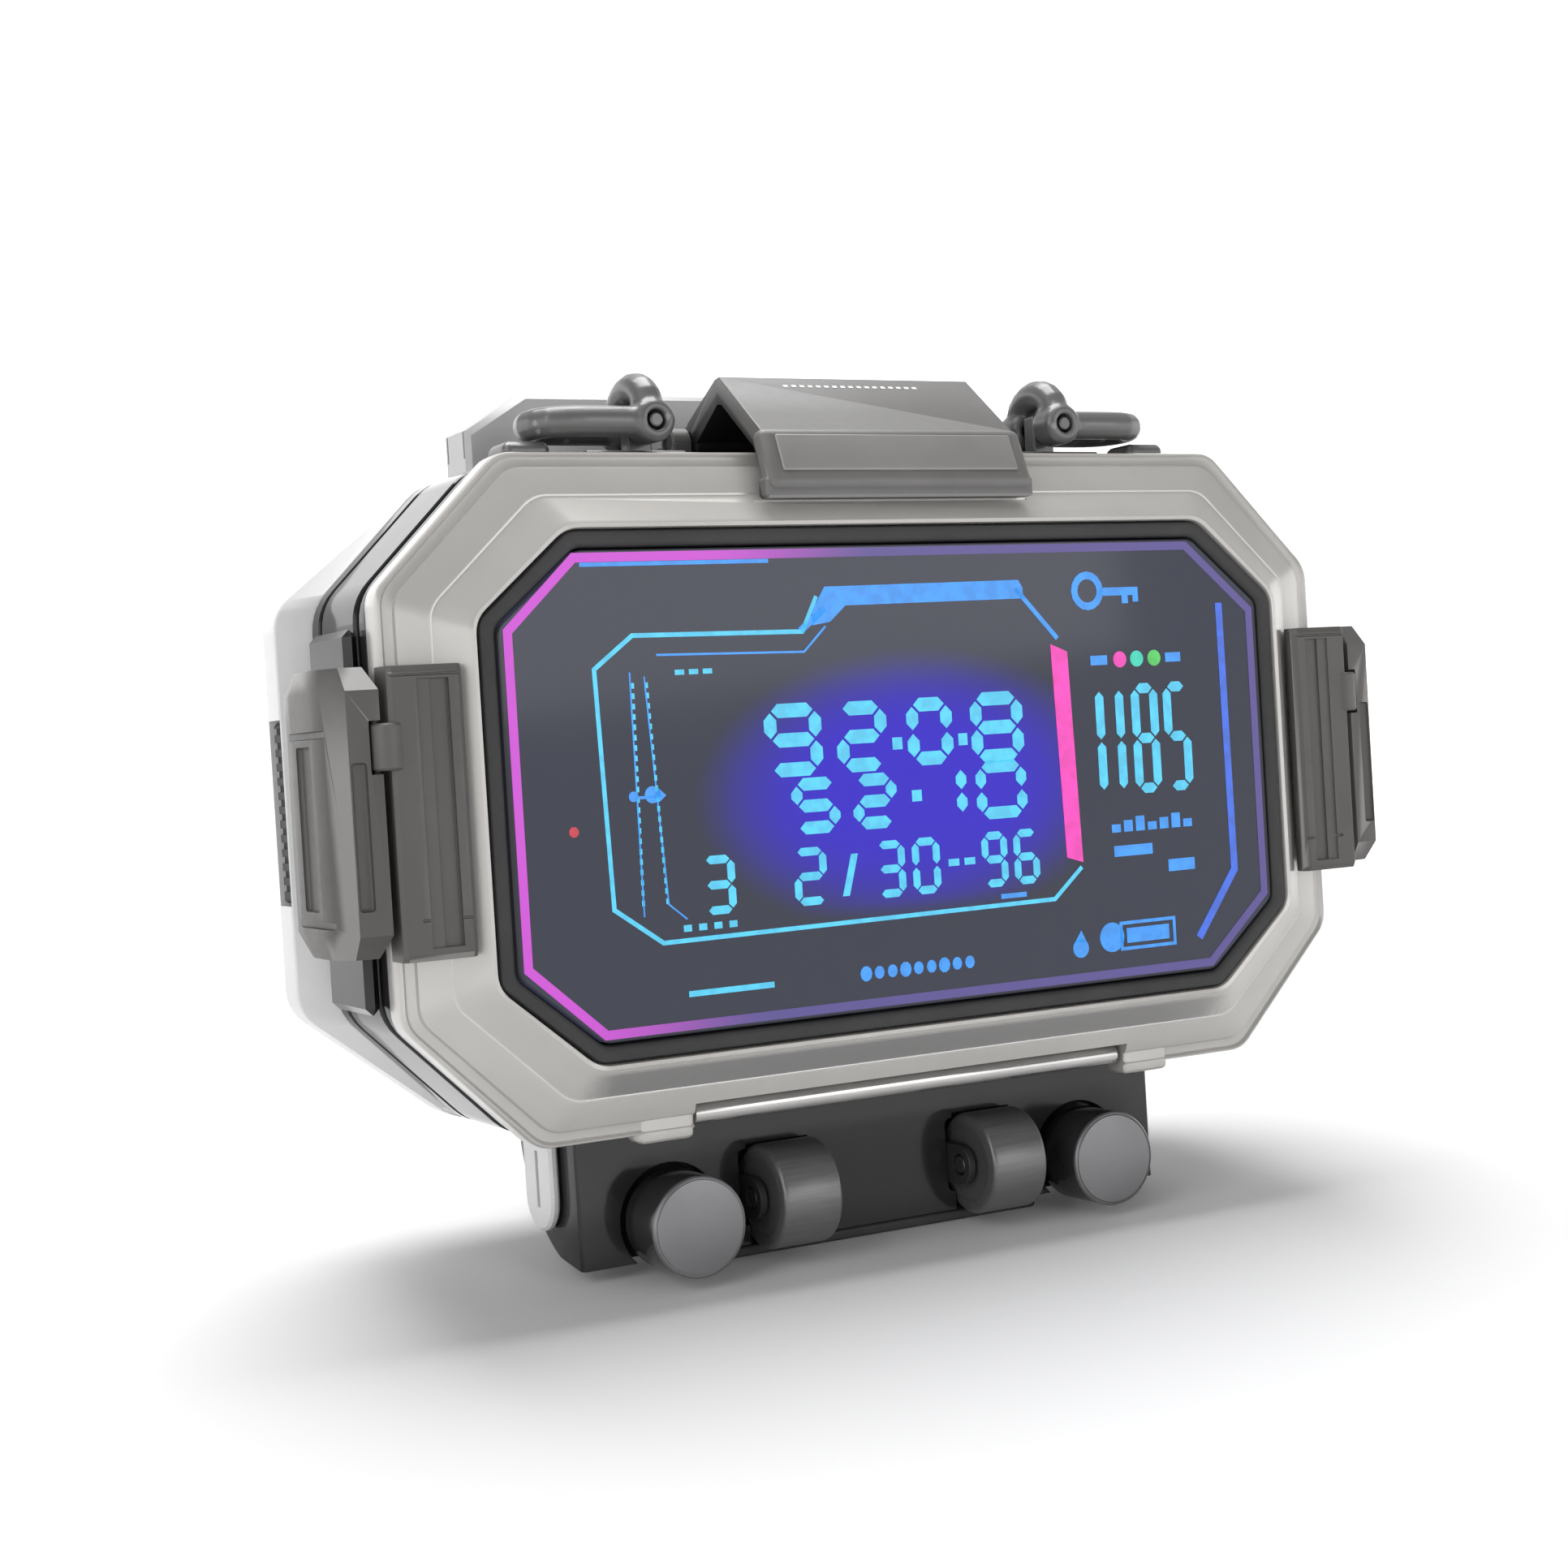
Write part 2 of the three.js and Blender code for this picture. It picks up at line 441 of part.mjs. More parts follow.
for (const [name, side] of SIDES) {
  add(`clasp_base_${name}`, claspBase(side), gloss);
  add(`clasp_pin_${name}`, bar("z", CLASP.pinR, CLASP.low + 0.4, CLASP.high - 0.4, side * CLASP.pinX, CLASP.pinY, 0.2, 12), steel);
  add(`clasp_lever_${name}`, claspLever(side), clasp);
  add(`clasp_hook_${name}`, claspHook(side), clasp);
}

// ---- Control plinth ----------------------------------------------------------------------------
add("hinge_rod", bar("x", ROD.r, -ROD.half, ROD.half, ROD.y, ROD.z, 0.3, 12), silver);

const drumTop = -CASE.z - GAP;
function quarterDrum(inset, top, half) {
  const r = DRUM.r - inset;
  const face = DRUM.face + inset;
  const round = arcPoints(20, -Math.PI / 2, 0, (a) => [DRUM.face + r * Math.cos(a), DRUM.axisZ + r * Math.sin(a)])
    .filter(([y, z]) => y > face + 0.01 && z < top);
  const low = DRUM.axisZ - Math.sqrt(r ** 2 - (face - DRUM.face) ** 2);
  const far = DRUM.face + Math.sqrt(r ** 2 - (top - DRUM.axisZ) ** 2);
  return extrudeX([[face, low], ...round, [far, top], [face, top]], -half, half);
}
function wheelSlot(side) {
  const out = WHEEL.far + PLAY + WHEEL.ear + GAP;
  const inner = WHEEL.near - PLAY - WHEEL.ear - GAP;
  const x0 = Math.min(side * inner, side * out);
  const x1 = Math.max(side * inner, side * out);
  const top = WHEEL.z + 6.6;
  return join(
    block(x0, x1, DRUM.face - 2, DRUM.face + DRUM.wall + 1.2, WHEEL.z - 4.4, top, 0.3),
    bar("x", WHEEL.r + PLAY, side > 0 ? WHEEL.near - PLAY : -WHEEL.far - PLAY,
      side > 0 ? WHEEL.far + PLAY : -WHEEL.near + PLAY, WHEEL.y, WHEEL.z, 0.1));
}
function controlBarrel() {
  const floor = [flatZ, flatZ - 20].flatMap((z) => [-DRUM.half - 2, DRUM.half + 2].flatMap((x) =>
    [-20, 60].map((y) => level([x, y, z]))));
  const corners = SIDES.map(([, side]) => sideHull(side, [-80, -40].flatMap((z) => [
    [DRUM.half + 1, DRUM.face - 1, z], [DRUM.half - DRUM.corner, DRUM.face - 1, z],
    [DRUM.half - DRUM.corner, DRUM.face, z], [DRUM.half - 1, DRUM.face + 1, z],
    [DRUM.half, DRUM.face + DRUM.corner, z], [DRUM.half + 1, DRUM.face + DRUM.corner, z]])));
  const recesses = SIDES.flatMap(([, side]) => [
    bar("y", KNOB.r + 0.8, DRUM.face - 1, DRUM.face + KNOB.recess, side * KNOB.x, KNOB.z, 0.1),
    bar("y", KNOB.stem + PLAY, DRUM.face, KNOB.stemEnd + KNOB.travel + PLAY, side * KNOB.x, KNOB.z, 0.1, 16)]);
  return cut(
    quarterDrum(0, drumTop, DRUM.half),
    quarterDrum(DRUM.wall, drumTop + 1, DRUM.half - DRUM.end),
    hull(floor), ...corners, ...recesses, ...SIDES.map(([, side]) => wheelSlot(side)));
}
add("control_barrel", controlBarrel(), gloss);

function drumCap(side) {
  const mid = (CAP.front + CAP.back) / 2;
  const r = (CAP.back - CAP.front) / 2;
  const x0 = DRUM.half + GAP;
  const x1 = x0 + CAP.thick;
  const low = Math.min(side * x0, side * x1);
  const high = Math.max(side * x0, side * x1);
  const plate = join(
    bar("x", r, low, high, mid, CAP.bottom + r, 0.4),
    block(low, high, CAP.front, CAP.back, CAP.bottom + r, drumTop - 0.4, 0.4));
  const slit = sideBlock(side, x1 - 0.7, x1 + 1, mid - 0.5, mid + 0.5, CAP.bottom + 3.4, drumTop - 3.4, 0.1);
  return cut(plate, slit);
}
for (const [name, side] of SIDES) {
  add(`drum_cap_${name}`, drumCap(side), pearl);
  const stem = bar("y", KNOB.stem, DRUM.face - 1, KNOB.stemEnd, side * KNOB.x, KNOB.z, 0.3, 16);
  add(`push_knob_${name}`, join(bar("y", KNOB.r, KNOB.front, DRUM.face + 0.3, side * KNOB.x, KNOB.z, 0.5, 28), stem), knobMetal);
  add(`knob_switch_${name}`, block(side * KNOB.x - SWITCH.half, side * KNOB.x + SWITCH.half,
    KNOB.stemEnd, KNOB.stemEnd + SWITCH.depth, KNOB.z + KNOB.stem + PLAY + GAP,
    KNOB.z + KNOB.stem + PLAY + GAP + SWITCH.high, 0.4), rubber);
  const low = side > 0 ? WHEEL.near : -WHEEL.far;
  const high = side > 0 ? WHEEL.far : -WHEEL.near;
  add(`thumbwheel_${name}`, cut(bar("x", WHEEL.r, low, high, WHEEL.y, WHEEL.z, 0.8, 28),
    bar("x", WHEEL.axle + PLAY, low - 1, high + 1, WHEEL.y, WHEEL.z, 0.1, 12)), knobMetal);
  add(`wheel_axle_${name}`, bar("x", WHEEL.axle, low - PLAY - WHEEL.ear, high + PLAY + WHEEL.ear,
    WHEEL.y, WHEEL.z, 0.2, 12), steel);
  const backFace = DRUM.face + DRUM.wall;
  const earAt = (x) => join(bar("x", 3, x, x + WHEEL.ear, WHEEL.y, WHEEL.z, 0.1, 16),
    block(x, x + WHEEL.ear, WHEEL.y, backFace + 0.7, WHEEL.z - 3, WHEEL.z + 3, 0.1));
  add(`wheel_yoke_${name}`, cut(join(earAt(low - PLAY - WHEEL.ear), earAt(high + PLAY),
    block(low - PLAY - WHEEL.ear, high + PLAY + WHEEL.ear, backFace - 0.1, backFace + 0.9, WHEEL.z - 3.6, WHEEL.z + 3.6, 0.1)),
  bar("x", WHEEL.axle + GAP, low - 5, high + 5, WHEEL.y, WHEEL.z, 0.05, 12)), rubber);
}
const boardLow = DRUM.axisZ - Math.sqrt((DRUM.r - DRUM.wall) ** 2 - CONTROL.back ** 2) + 0.8;
add("control_board", block(-24, 24, DRUM.face + CONTROL.back - BOARD, DRUM.face + CONTROL.back, boardLow,
  drumTop - 2, 0.2), boardGreen);

// ---- Feet: a level pad under the drum and a flip-down rear stand -------------------------------
const padHalf = KNOB.x - KNOB.r - PAD.inset;
add("front_pad", block(-padHalf, padHalf, flatFront - padY, flatBack - padY, 0, PAD.thick, 0.3), rubber, timegrapher);

const pinWorld = [STAND.pinY * cos + STAND.pinZ * sin - padY, STAND.pinZ * cos - STAND.pinY * sin - floorZ];
function rearStand() {
  const [y, z] = pinWorld;
  const footY = y - 6.5;
  const leg = hull([-STAND.half, STAND.half].flatMap((x) => [
    [x, y - STAND.thick / 2, z], [x, y + STAND.thick / 2, z],
    [x, footY - 0.4, 1.4], [x, footY + STAND.foot - 3, 1.4],
    [x * 0.98, footY, 0], [x * 0.98, footY + STAND.foot - 4, 0]]));
  return cut(join(leg, bar("x", STAND.r, -STAND.half, STAND.half, y, z, 0.3, 16)),
    bar("x", STAND.pin + PLAY, -STAND.half - 1, STAND.half + 1, y, z, 0.1, 12));
}
add("rear_stand", rearStand(), latchGrey, timegrapher);
function standBracket() {
  const out = STAND.half + PLAY + 3;
  const back = PANEL_BACK + GAP;
  const plate = block(-out, out, back, back + 0.4, STAND.pinZ - 2.4, STAND.pinZ + 3.4, 0.1);
  const ears = SIDES.map(([, side]) => join(
    sideBlock(side, STAND.half + PLAY, out, back, STAND.pinY, STAND.pinZ - 2.4, STAND.pinZ + 2.4, 0.2),
    bar("x", 2.4, Math.min(side * (STAND.half + PLAY), side * out), Math.max(side * (STAND.half + PLAY), side * out),
      STAND.pinY, STAND.pinZ, 0.2, 16)));
  return cut(join(plate, ...ears),
    bar("x", STAND.pin + GAP, -out - 1, out + 1, STAND.pinY, STAND.pinZ, 0.1, 12));
}
add("stand_bracket", standBracket(), latchGrey);
add("stand_pin", bar("x", STAND.pin, -STAND.half - PLAY - 2.7, STAND.half + PLAY + 2.7,
  STAND.pinY, STAND.pinZ, 0.2, 12), steel);

export default timegrapher;
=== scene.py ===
# Timegrapher: the looks. Metres, +X right, +Y back, +Z up, origin on the bench under the front pad.
import json
import math

import bmesh
import bpy
from mathutils import Matrix, Vector


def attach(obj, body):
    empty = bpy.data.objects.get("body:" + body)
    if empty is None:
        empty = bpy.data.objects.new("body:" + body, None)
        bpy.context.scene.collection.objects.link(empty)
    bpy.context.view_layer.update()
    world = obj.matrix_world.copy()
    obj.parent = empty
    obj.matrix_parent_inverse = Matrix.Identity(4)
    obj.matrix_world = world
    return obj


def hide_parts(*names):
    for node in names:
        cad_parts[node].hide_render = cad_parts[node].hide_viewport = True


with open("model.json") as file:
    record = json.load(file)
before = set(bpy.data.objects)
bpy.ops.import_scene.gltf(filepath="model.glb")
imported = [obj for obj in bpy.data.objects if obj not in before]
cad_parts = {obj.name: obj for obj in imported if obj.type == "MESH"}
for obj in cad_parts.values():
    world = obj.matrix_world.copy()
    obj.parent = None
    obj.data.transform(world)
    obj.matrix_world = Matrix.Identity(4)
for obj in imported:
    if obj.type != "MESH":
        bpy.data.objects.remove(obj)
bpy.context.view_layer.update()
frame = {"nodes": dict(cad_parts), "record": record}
bpy.ops.object.select_all(action="DESELECT")

# ---- The leaning case frame ------------------------------------------------------------------
# The case leans back a few degrees. Its pieces are laid out with the screen upright round the
# middle of the pane, and lean() then puts them in their place.
MM = 0.001
mounts = {mount["name"]: mount for mount in frame["record"]["mounts"]}
pane_middle = Vector(mounts["screen_face"]["pos_m"])
pane_normal = Vector(mounts["screen_face"]["axis"])
lean_angle = math.atan2(pane_normal.z, -pane_normal.y)
CASE = Matrix.Translation(pane_middle) @ Matrix.Rotation(-lean_angle, 4, "X")
BODY_OF = {node: body for body, nodes in frame["record"]["behaviour"]["bodies"].items() for node in nodes}
SLOT_OF = {part["node"]: part["material_slot"] for part in frame["record"]["subparts"]}


# ---- Camera and studio -----------------------------------------------------------------------
# A camera to the left of the console, a little above its middle, over a plain pale floor
# under soft boxes.
def add_camera(yaw, pitch, roll, distance, right, up, lens):
    ahead = Vector((math.sin(yaw) * math.cos(pitch), math.cos(yaw) * math.cos(pitch), -math.sin(pitch)))
    across = ahead.cross(Vector((0, 0, 1))).normalized()
    above = across.cross(ahead)
    across, above = (across * math.cos(roll) + above * math.sin(roll),
                     above * math.cos(roll) - across * math.sin(roll))
    place = -(across * right + above * up + ahead * distance) * MM
    turn = Matrix((across, above, -ahead)).transposed().to_4x4()
    bpy.ops.object.camera_add()
    camera = bpy.context.object
    camera.matrix_world = CASE @ Matrix.Translation(place) @ turn
    camera.data.lens = lens
    camera.data.clip_start = 0.01
    bpy.context.scene.camera = camera


add_camera(yaw=0.495, pitch=0.0188, roll=-0.061, distance=344.66, right=18.95, up=1.374, lens=55.9)

bpy.ops.mesh.primitive_plane_add(size=30, location=(0, 0, -0.0001))
floor = bpy.context.object
floor.name = "floor"
floor.data.materials.append(bpy.data.materials.new("pale_floor"))
floor.data.materials[0].use_nodes = True
floor_shader = floor.data.materials[0].node_tree.nodes["Principled BSDF"]
floor_shader.inputs["Base Color"].default_value = (0.66, 0.66, 0.66, 1)
floor_shader.inputs["Roughness"].default_value = 0.9
floor_shader.inputs["Emission Strength"].default_value = 1.0
floor_nodes = floor.data.materials[0].node_tree
floor_place = floor_nodes.nodes.new("ShaderNodeTexCoord")
from_middle = floor_nodes.nodes.new("ShaderNodeVectorMath")
from_middle.operation = "LENGTH"
# Painted light: the floor glows, not at all near the console and more with distance from it.
floor_glow = floor_nodes.nodes.new("ShaderNodeMapRange")
for label, value in (("From Min", 0.22), ("From Max", 0.6), ("To Min", 0.0), ("To Max", 0.7)):
    floor_glow.inputs[label].default_value = value
floor_nodes.links.new(floor_place.outputs["Object"], from_middle.inputs[0])
floor_nodes.links.new(from_middle.outputs["Value"], floor_glow.inputs["Value"])
floor_nodes.links.new(floor_glow.outputs["Result"], floor_shader.inputs["Emission Color"])

bpy.ops.mesh.primitive_cylinder_add(radius=3, depth=0.95, vertices=96, end_fill_type="NOTHING",
                                    location=(0, 0, 0.47))
backdrop = bpy.context.object
backdrop.name = "backdrop"
backdrop.data.materials.append(bpy.data.materials.new("pale_backdrop"))
backdrop.data.materials[0].use_nodes = True
backdrop_shader = backdrop.data.materials[0].node_tree.nodes["Principled BSDF"]
backdrop_shader.inputs["Emission Color"].default_value = (1, 1, 1, 1)
backdrop_shader.inputs["Emission Strength"].default_value = 1.0


def soft_box(name, place, aim, size, power, tint=(1, 1, 1)):
    bpy.ops.object.light_add(type="AREA", location=place)
    lamp = bpy.context.object
    lamp.name = name
    lamp.data.shape = "RECTANGLE"
    lamp.data.size, lamp.data.size_y = size
    lamp.data.energy = power
    lamp.data.color = tint
    lamp.rotation_euler = (Vector(aim) - Vector(place)).to_track_quat("-Z", "Y").to_euler()


soft_box("overhead", (0.02, 0.3, 1.0), (0, 0, 0), (0.8, 0.65), 15)
soft_box("key_left", (-0.85, -0.35, 0.55), (0, 0, 0.06), (0.45, 0.7), 2.6)
soft_box("front_fill", (0.45, -0.95, 0.4), (0, 0, 0.06), (0.5, 0.35), 1.3)

world = bpy.data.worlds.new("studio")
bpy.context.scene.world = world
world.use_nodes = True
sky_nodes = world.node_tree
facing = sky_nodes.nodes.new("ShaderNodeVectorMath")
facing.operation = "DOT_PRODUCT"
facing.inputs[1].default_value = (0.475, 0.88, 0)
sky_place = sky_nodes.nodes.new("ShaderNodeTexCoord")
sky_level = sky_nodes.nodes.new("ShaderNodeMapRange")
sky_level.interpolation_type = "SMOOTHSTEP"
for label, value in (("From Min", 0.5), ("From Max", 0.8), ("To Min", 0.27), ("To Max", 1.0)):
    sky_level.inputs[label].default_value = value
sky_nodes.links.new(sky_place.outputs["Generated"], facing.inputs[0])
sky_nodes.links.new(facing.outputs["Value"], sky_level.inputs["Value"])
sky_nodes.links.new(sky_level.outputs["Result"], sky_nodes.nodes["Background"].inputs["Color"])
bpy.context.scene.view_settings.view_transform = "Standard"


# ---- Front frame -----------------------------------------------------------------------------
# A moulded, silver-lacquered octagon with soft corners: a thin rim, a sunk step, a wide flat,
# a crease and a slope up to the pane. Two clips hang under it, beside the hinge rod.
class Reading:
    """A number that a shader works out at each point. Sums on it add the Math nodes."""

    def __init__(self, coat, socket):
        self.coat = coat
        self.socket = socket

    def sum(self, operation, *others, clamp=False):
        return self.coat.node("ShaderNodeMath", {"operation": operation, "use_clamp": clamp},
                              self, *others)

    def __add__(self, other):
        return self.sum("ADD", other)

    __radd__ = __add__

    def __sub__(self, other):
        return self.sum("SUBTRACT", other)

    def __rsub__(self, other):
        return self.coat.node("ShaderNodeMath", {"operation": "SUBTRACT"}, other, self)

    def __mul__(self, other):
        return self.sum("MULTIPLY", other)

    __rmul__ = __mul__

    def __truediv__(self, other):
        return self.sum("DIVIDE", other)

    def __abs__(self):
        return self.sum("ABSOLUTE")

    def above(self, low, high):
        """0 below low, 1 above high, and smooth between."""
        ramp = {"interpolation_type": "SMOOTHSTEP"}
        return self.coat.node("ShaderNodeMapRange", ramp, self, low, high)


class Coat:
    """A finish: one Principled shader, its fixed settings, and what varies over the surface."""

    def __init__(self, name, color, roughness, **fixed):
        self.material = bpy.data.materials.new(name)
        self.material.use_nodes = True
        self.tree = self.material.node_tree
        self.shader = self.tree.nodes["Principled BSDF"]
        self.set("Base Color", (*color, 1))
        self.set("Roughness", roughness)
        for label, value in fixed.items():
            self.set(label.replace("_", " "), value)
        self.object_point = self.node("ShaderNodeTexCoord", {}, output="Object")

    def set(self, label, value):
        socket = self.shader.inputs[label]
        if isinstance(value, Reading):
            self.tree.links.new(value.socket, socket)
        else:
            socket.default_value = value

    def node(self, kind, settings, *values, output=0, **named):
        """A new node: its settings first, then its inputs in order or by name. None leaves an input alone."""
        made = self.tree.nodes.new(kind)
        for label, value in settings.items():
            setattr(made, label, value)
        pairs = list(zip(made.inputs, values))
        pairs += [(made.inputs[label.replace("_", " ")], value) for label, value in named.items()]
        for socket, value in pairs:
            if isinstance(value, Reading):
                self.tree.links.new(value.socket, socket)
            elif value is not None:
                socket.default_value = value
        return Reading(self, made.outputs[output])

    def noise(self, scale, detail=3.0):
        return self.node("ShaderNodeTexNoise", {}, Vector=self.object_point, Scale=scale, Detail=detail)

    def mix(self, amount, first, second):
        """A colour between two. The node's number and vector inputs come before its colours."""
        before_colors = [None] * 5
        return self.node("ShaderNodeMix", {"data_type": "RGBA"},
                         amount, *before_colors, first, second, output=2)

    def bump(self, height, distance, strength=0.3):
        self.set("Normal", self.node("ShaderNodeBump", {}, Strength=strength, Distance=distance, Height=height))

    def case_place(self):
        """Where a point is on the upright case: to the right, back and up from the pane's middle, in mm."""
        scaled = self.node("ShaderNodeMapping", {"vector_type": "POINT"}, self.object_point,
                           Scale=(1 / MM, 1 / MM, 1 / MM))
        x, y, z = (self.node("ShaderNodeSeparateXYZ", {}, scaled, output=axis) for axis in "XYZ")
        y = y - pane_middle.y / MM
        z = z - pane_middle.z / MM
        cos, sin = math.cos(lean_angle), math.sin(lean_angle)
        return x, y * cos - z * sin, z * cos + y * sin


def lacquer(name, color, roughness, grain=0.06, **fixed):
    """A sprayed or moulded finish with faint mottling and an orange-peel surface."""
    coat = Coat(name, color, roughness, **fixed)
    cloud = coat.noise(60, 4)
    fine = coat.noise(900, 2)
    darker = tuple(c * (1 - grain) for c in color) + (1,)
    lighter = tuple(min(1, c * (1 + grain)) for c in color) + (1,)
    coat.tone = coat.mix(cloud.above(0.3, 0.7), darker, lighter)
    coat.set("Base Color", coat.tone)
    coat.set("Roughness", roughness * 0.92 + fine * roughness * 0.16)
    coat.bump(fine, 0.00001, 0.05)
    return coat


silver = lacquer("silver_lacquer", (0.42, 0.407, 0.388), 0.3, grain=0.035, Metallic=0.3,
                 Coat_Weight=0.5, Coat_Roughness=0.14)
right, back, up = silver.case_place()
# Painted shade: the downward-facing band of slope under the window is painted a darker grey; it is also made
# smoother and more metallic.
shaded_sill = (up * -1).above(36.4, 37.2) * abs(right).above(54, 48) * (up * -1).above(40.6, 39.9)
silver.set("Base Color", silver.mix(shaded_sill, silver.tone, (0.34, 0.335, 0.33, 1)))
silver.set("Roughness", 0.3 - shaded_sill * 0.2)
silver.set("Metallic", 0.3 + shaded_sill * 0.6)


OPENING = (65, 35.3, 13.3, 11.5)  # half width, half height and the two corner cuts, in mm
CASE_OUTLINE = (76.8, 46.2, 17.9, 18)
CORNER_STEPS = 6
OUTLINE_POINTS = 8 * CORNER_STEPS


def octagon_at(t):
    """The octagon part of the way from the screen's opening (0) to the case's outline (1), in mm."""
    return tuple(inner + (outer - inner) * t for inner, outer in zip(OPENING, CASE_OUTLINE))


def rounded_octagon(half, high, cut_x, cut_z, rounding):
    """The points in order round an octagon whose eight corners are rounded, in mm."""
    quarter = [(half, high - cut_z), (half - cut_x, high)]
    corners = quarter + [(-x, z) for x, z in reversed(quarter)]
    corners += [(-x, -z) for x, z in corners]
    points = []
    for i, corner in enumerate(corners):
        middle = Vector(corner)
        start = middle + (Vector(corners[i - 1]) - middle).normalized() * rounding
        end = middle + (Vector(corners[(i + 1) % 8]) - middle).normalized() * rounding
        for step in range(CORNER_STEPS):
            t = step / (CORNER_STEPS - 1)
            points.append(start * (1 - t) ** 2 + middle * 2 * t * (1 - t) + end * t ** 2)
    return points


def octagon_ring(name, stations, rounding=3.0, closed=True):
    """A ring or slab through octagons. A station is (t, y), or (half width, half height, cut x, cut z, y)."""
    outlines = [s if len(s) == 5 else (*octagon_at(s[0]), s[1]) for s in stations]
    if closed:
        outlines.append(outlines[0])
    bpy.ops.mesh.primitive_circle_add(vertices=OUTLINE_POINTS, radius=0.05)
    piece = bpy.context.object
    piece.name = name
    bpy.ops.object.mode_set(mode="EDIT")
    order = {i: i for i in range(OUTLINE_POINTS)}
    for number, (half, high, cut_x, cut_z, y) in enumerate(outlines):
        if number:
            bpy.ops.mesh.extrude_edges_move()
        shape = bmesh.from_edit_mesh(piece.data)
        shape.verts.ensure_lookup_table()
        fresh = [v for v in shape.verts if v.select]
        if number:
            before = order
            order = {v.index: before[e.other_vert(v).index] for v in fresh for e in v.link_edges
                     if e.other_vert(v).index in before}
        points = rounded_octagon(half, high, cut_x, cut_z, rounding)
        for v in fresh:
            v.co = (points[order[v.index]].x * MM, y * MM, points[order[v.index]].y * MM)
        if not closed and number in (0, len(outlines) - 1):
            shape.faces.new(sorted(fresh, key=lambda v: order[v.index]))
        for face in shape.faces:
            face.select = False
        for edge in shape.edges:
            edge.select = all(v.index in order for v in edge.verts)
        bmesh.update_edit_mesh(piece.data)
    bpy.ops.mesh.select_all(action="SELECT")
    bpy.ops.mesh.remove_doubles(threshold=0.000002)
    bpy.ops.mesh.normals_make_consistent(inside=False)
    bpy.ops.object.mode_set(mode="OBJECT")
    return piece


def apply_modifier(piece, kind, **settings):
    bpy.context.view_layer.objects.active = piece
    modifier = piece.modifiers.new(kind.lower(), kind)
    for label, value in settings.items():
        setattr(modifier, label, value)
    bpy.ops.object.modifier_apply(modifier=modifier.name)


def carve(piece, *cutters):
    """Takes each cutter's shape out of the piece."""
    for cutter in cutters:
        apply_modifier(piece, "BOOLEAN", operation="DIFFERENCE", object=cutter, solver="EXACT")
        bpy.data.objects.remove(cutter)


def unite(piece, *others):
    """Joins the other shapes to the piece as one skin."""
    for other in others:
        apply_modifier(piece, "BOOLEAN", operation="UNION", object=other, solver="EXACT")
        bpy.data.objects.remove(other)


def soften(piece, width, segments=3, angle=30):
    """Rounds the sharp edges, and shades what is left smooth across flat bends."""
    apply_modifier(piece, "BEVEL", width=width * MM, segments=segments, limit_method="ANGLE",
                   angle_limit=math.radians(angle), use_clamp_overlap=True, miter_outer="MITER_ARC")
    smooth(piece)


def smooth(piece, angle=32):
    """Shades bends below the angle, in degrees, as smooth and sharper ones as edges."""
    bpy.ops.object.select_all(action="DESELECT")
    piece.select_set(True)
    bpy.context.view_layer.objects.active = piece
    bpy.ops.object.shade_smooth_by_angle(angle=math.radians(angle))
    bpy.ops.object.select_all(action="DESELECT")


def slab(x0, x1, y0, y1, z0, z1, name="slab"):
    """A box between two corners on the upright case, in mm."""
    bpy.ops.mesh.primitive_cube_add(size=1)
    piece = bpy.context.object
    piece.name = name
    bpy.ops.object.mode_set(mode="EDIT")
    bpy.ops.transform.resize(value=((x1 - x0) * MM, (y1 - y0) * MM, (z1 - z0) * MM))
    bpy.ops.transform.translate(value=((x0 + x1) / 2 * MM, (y0 + y1) / 2 * MM, (z0 + z1) / 2 * MM))
    bpy.ops.object.mode_set(mode="OBJECT")
    return piece


def settle(piece, coat, body, slot, *nodes):
    """Leans a piece into place, gives it its finish, and joins it to its body."""
    piece.data.transform(CASE)
    piece.data.materials.clear()
    piece.data.materials.append(coat.material)
    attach(piece, body)
    if nodes:
        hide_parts(*nodes)
    bpy.ops.object.select_all(action="DESELECT")
    return piece


frame_profile = [
    (0.01, 5.2), (0.01, 0.1), (0.025, -0.35), (0.07, -0.5), (0.11, -0.25), (0.40, 2.55), (0.435, 2.75),
    (0.455, 2.72), (0.475, 2.78), (0.78, 4.15), (0.80, 4.3), (0.82, 4.75), (0.845, 4.9), (0.925, 5.0),
    (0.945, 4.85), (0.96, 4.6), (0.985, 4.75), (0.998, 5.2), (1.0, 5.8), (1.0, 9.0), (0.99, 9.45), (0.96, 9.5),
    (0.63, 9.5), (0.63, 5.6)]
front_frame = octagon_ring("front_frame", frame_profile, rounding=2.0)
clips = [slab(x0, x0 + 8.4, 4.7, 9.4, -47.5, -43, f"clip_{i}") for i, x0 in enumerate((-44.4, 36.0))]
for clip in clips:
    soften(clip, 0.9)
unite(front_frame, *clips)
carve(front_frame,
      slab(-22.6, 22.6, -3, 2.2, 38.9, 48),
      *[slab(side * 31 - 7, side * 31 + 7, 5.9, 8.2, 45.5, 48, f"top_channel_{side}") for side in (-1, 1)],
      slab(-36.2, 36.2, 3.2, 12, -49, -42.7))
smooth(front_frame, 24)
settle(front_frame, silver, "case", "silver_shell", "front_bezel")


# ---- Window --------------------------------------------------------------------------------
# A smoked pane with clipped corners, held in a black rubber gasket. The pane is toughened glass,
# dark where the module behind it is off and deep blue where its light shows through.
def offset_station(outline, by, y):
    """A station whose outline is an octagon's, by this much bigger all round, in mm."""
    half, high, cut_x, cut_z = outline
    corner = by * (2 - math.sqrt(2))
    return half + by, high + by, cut_x + corner, cut_z + corner, y


def grown(by, y):
    return offset_station(OPENING, by, y)


def inside_case(by, y):
    return offset_station(CASE_OUTLINE, -by, y)


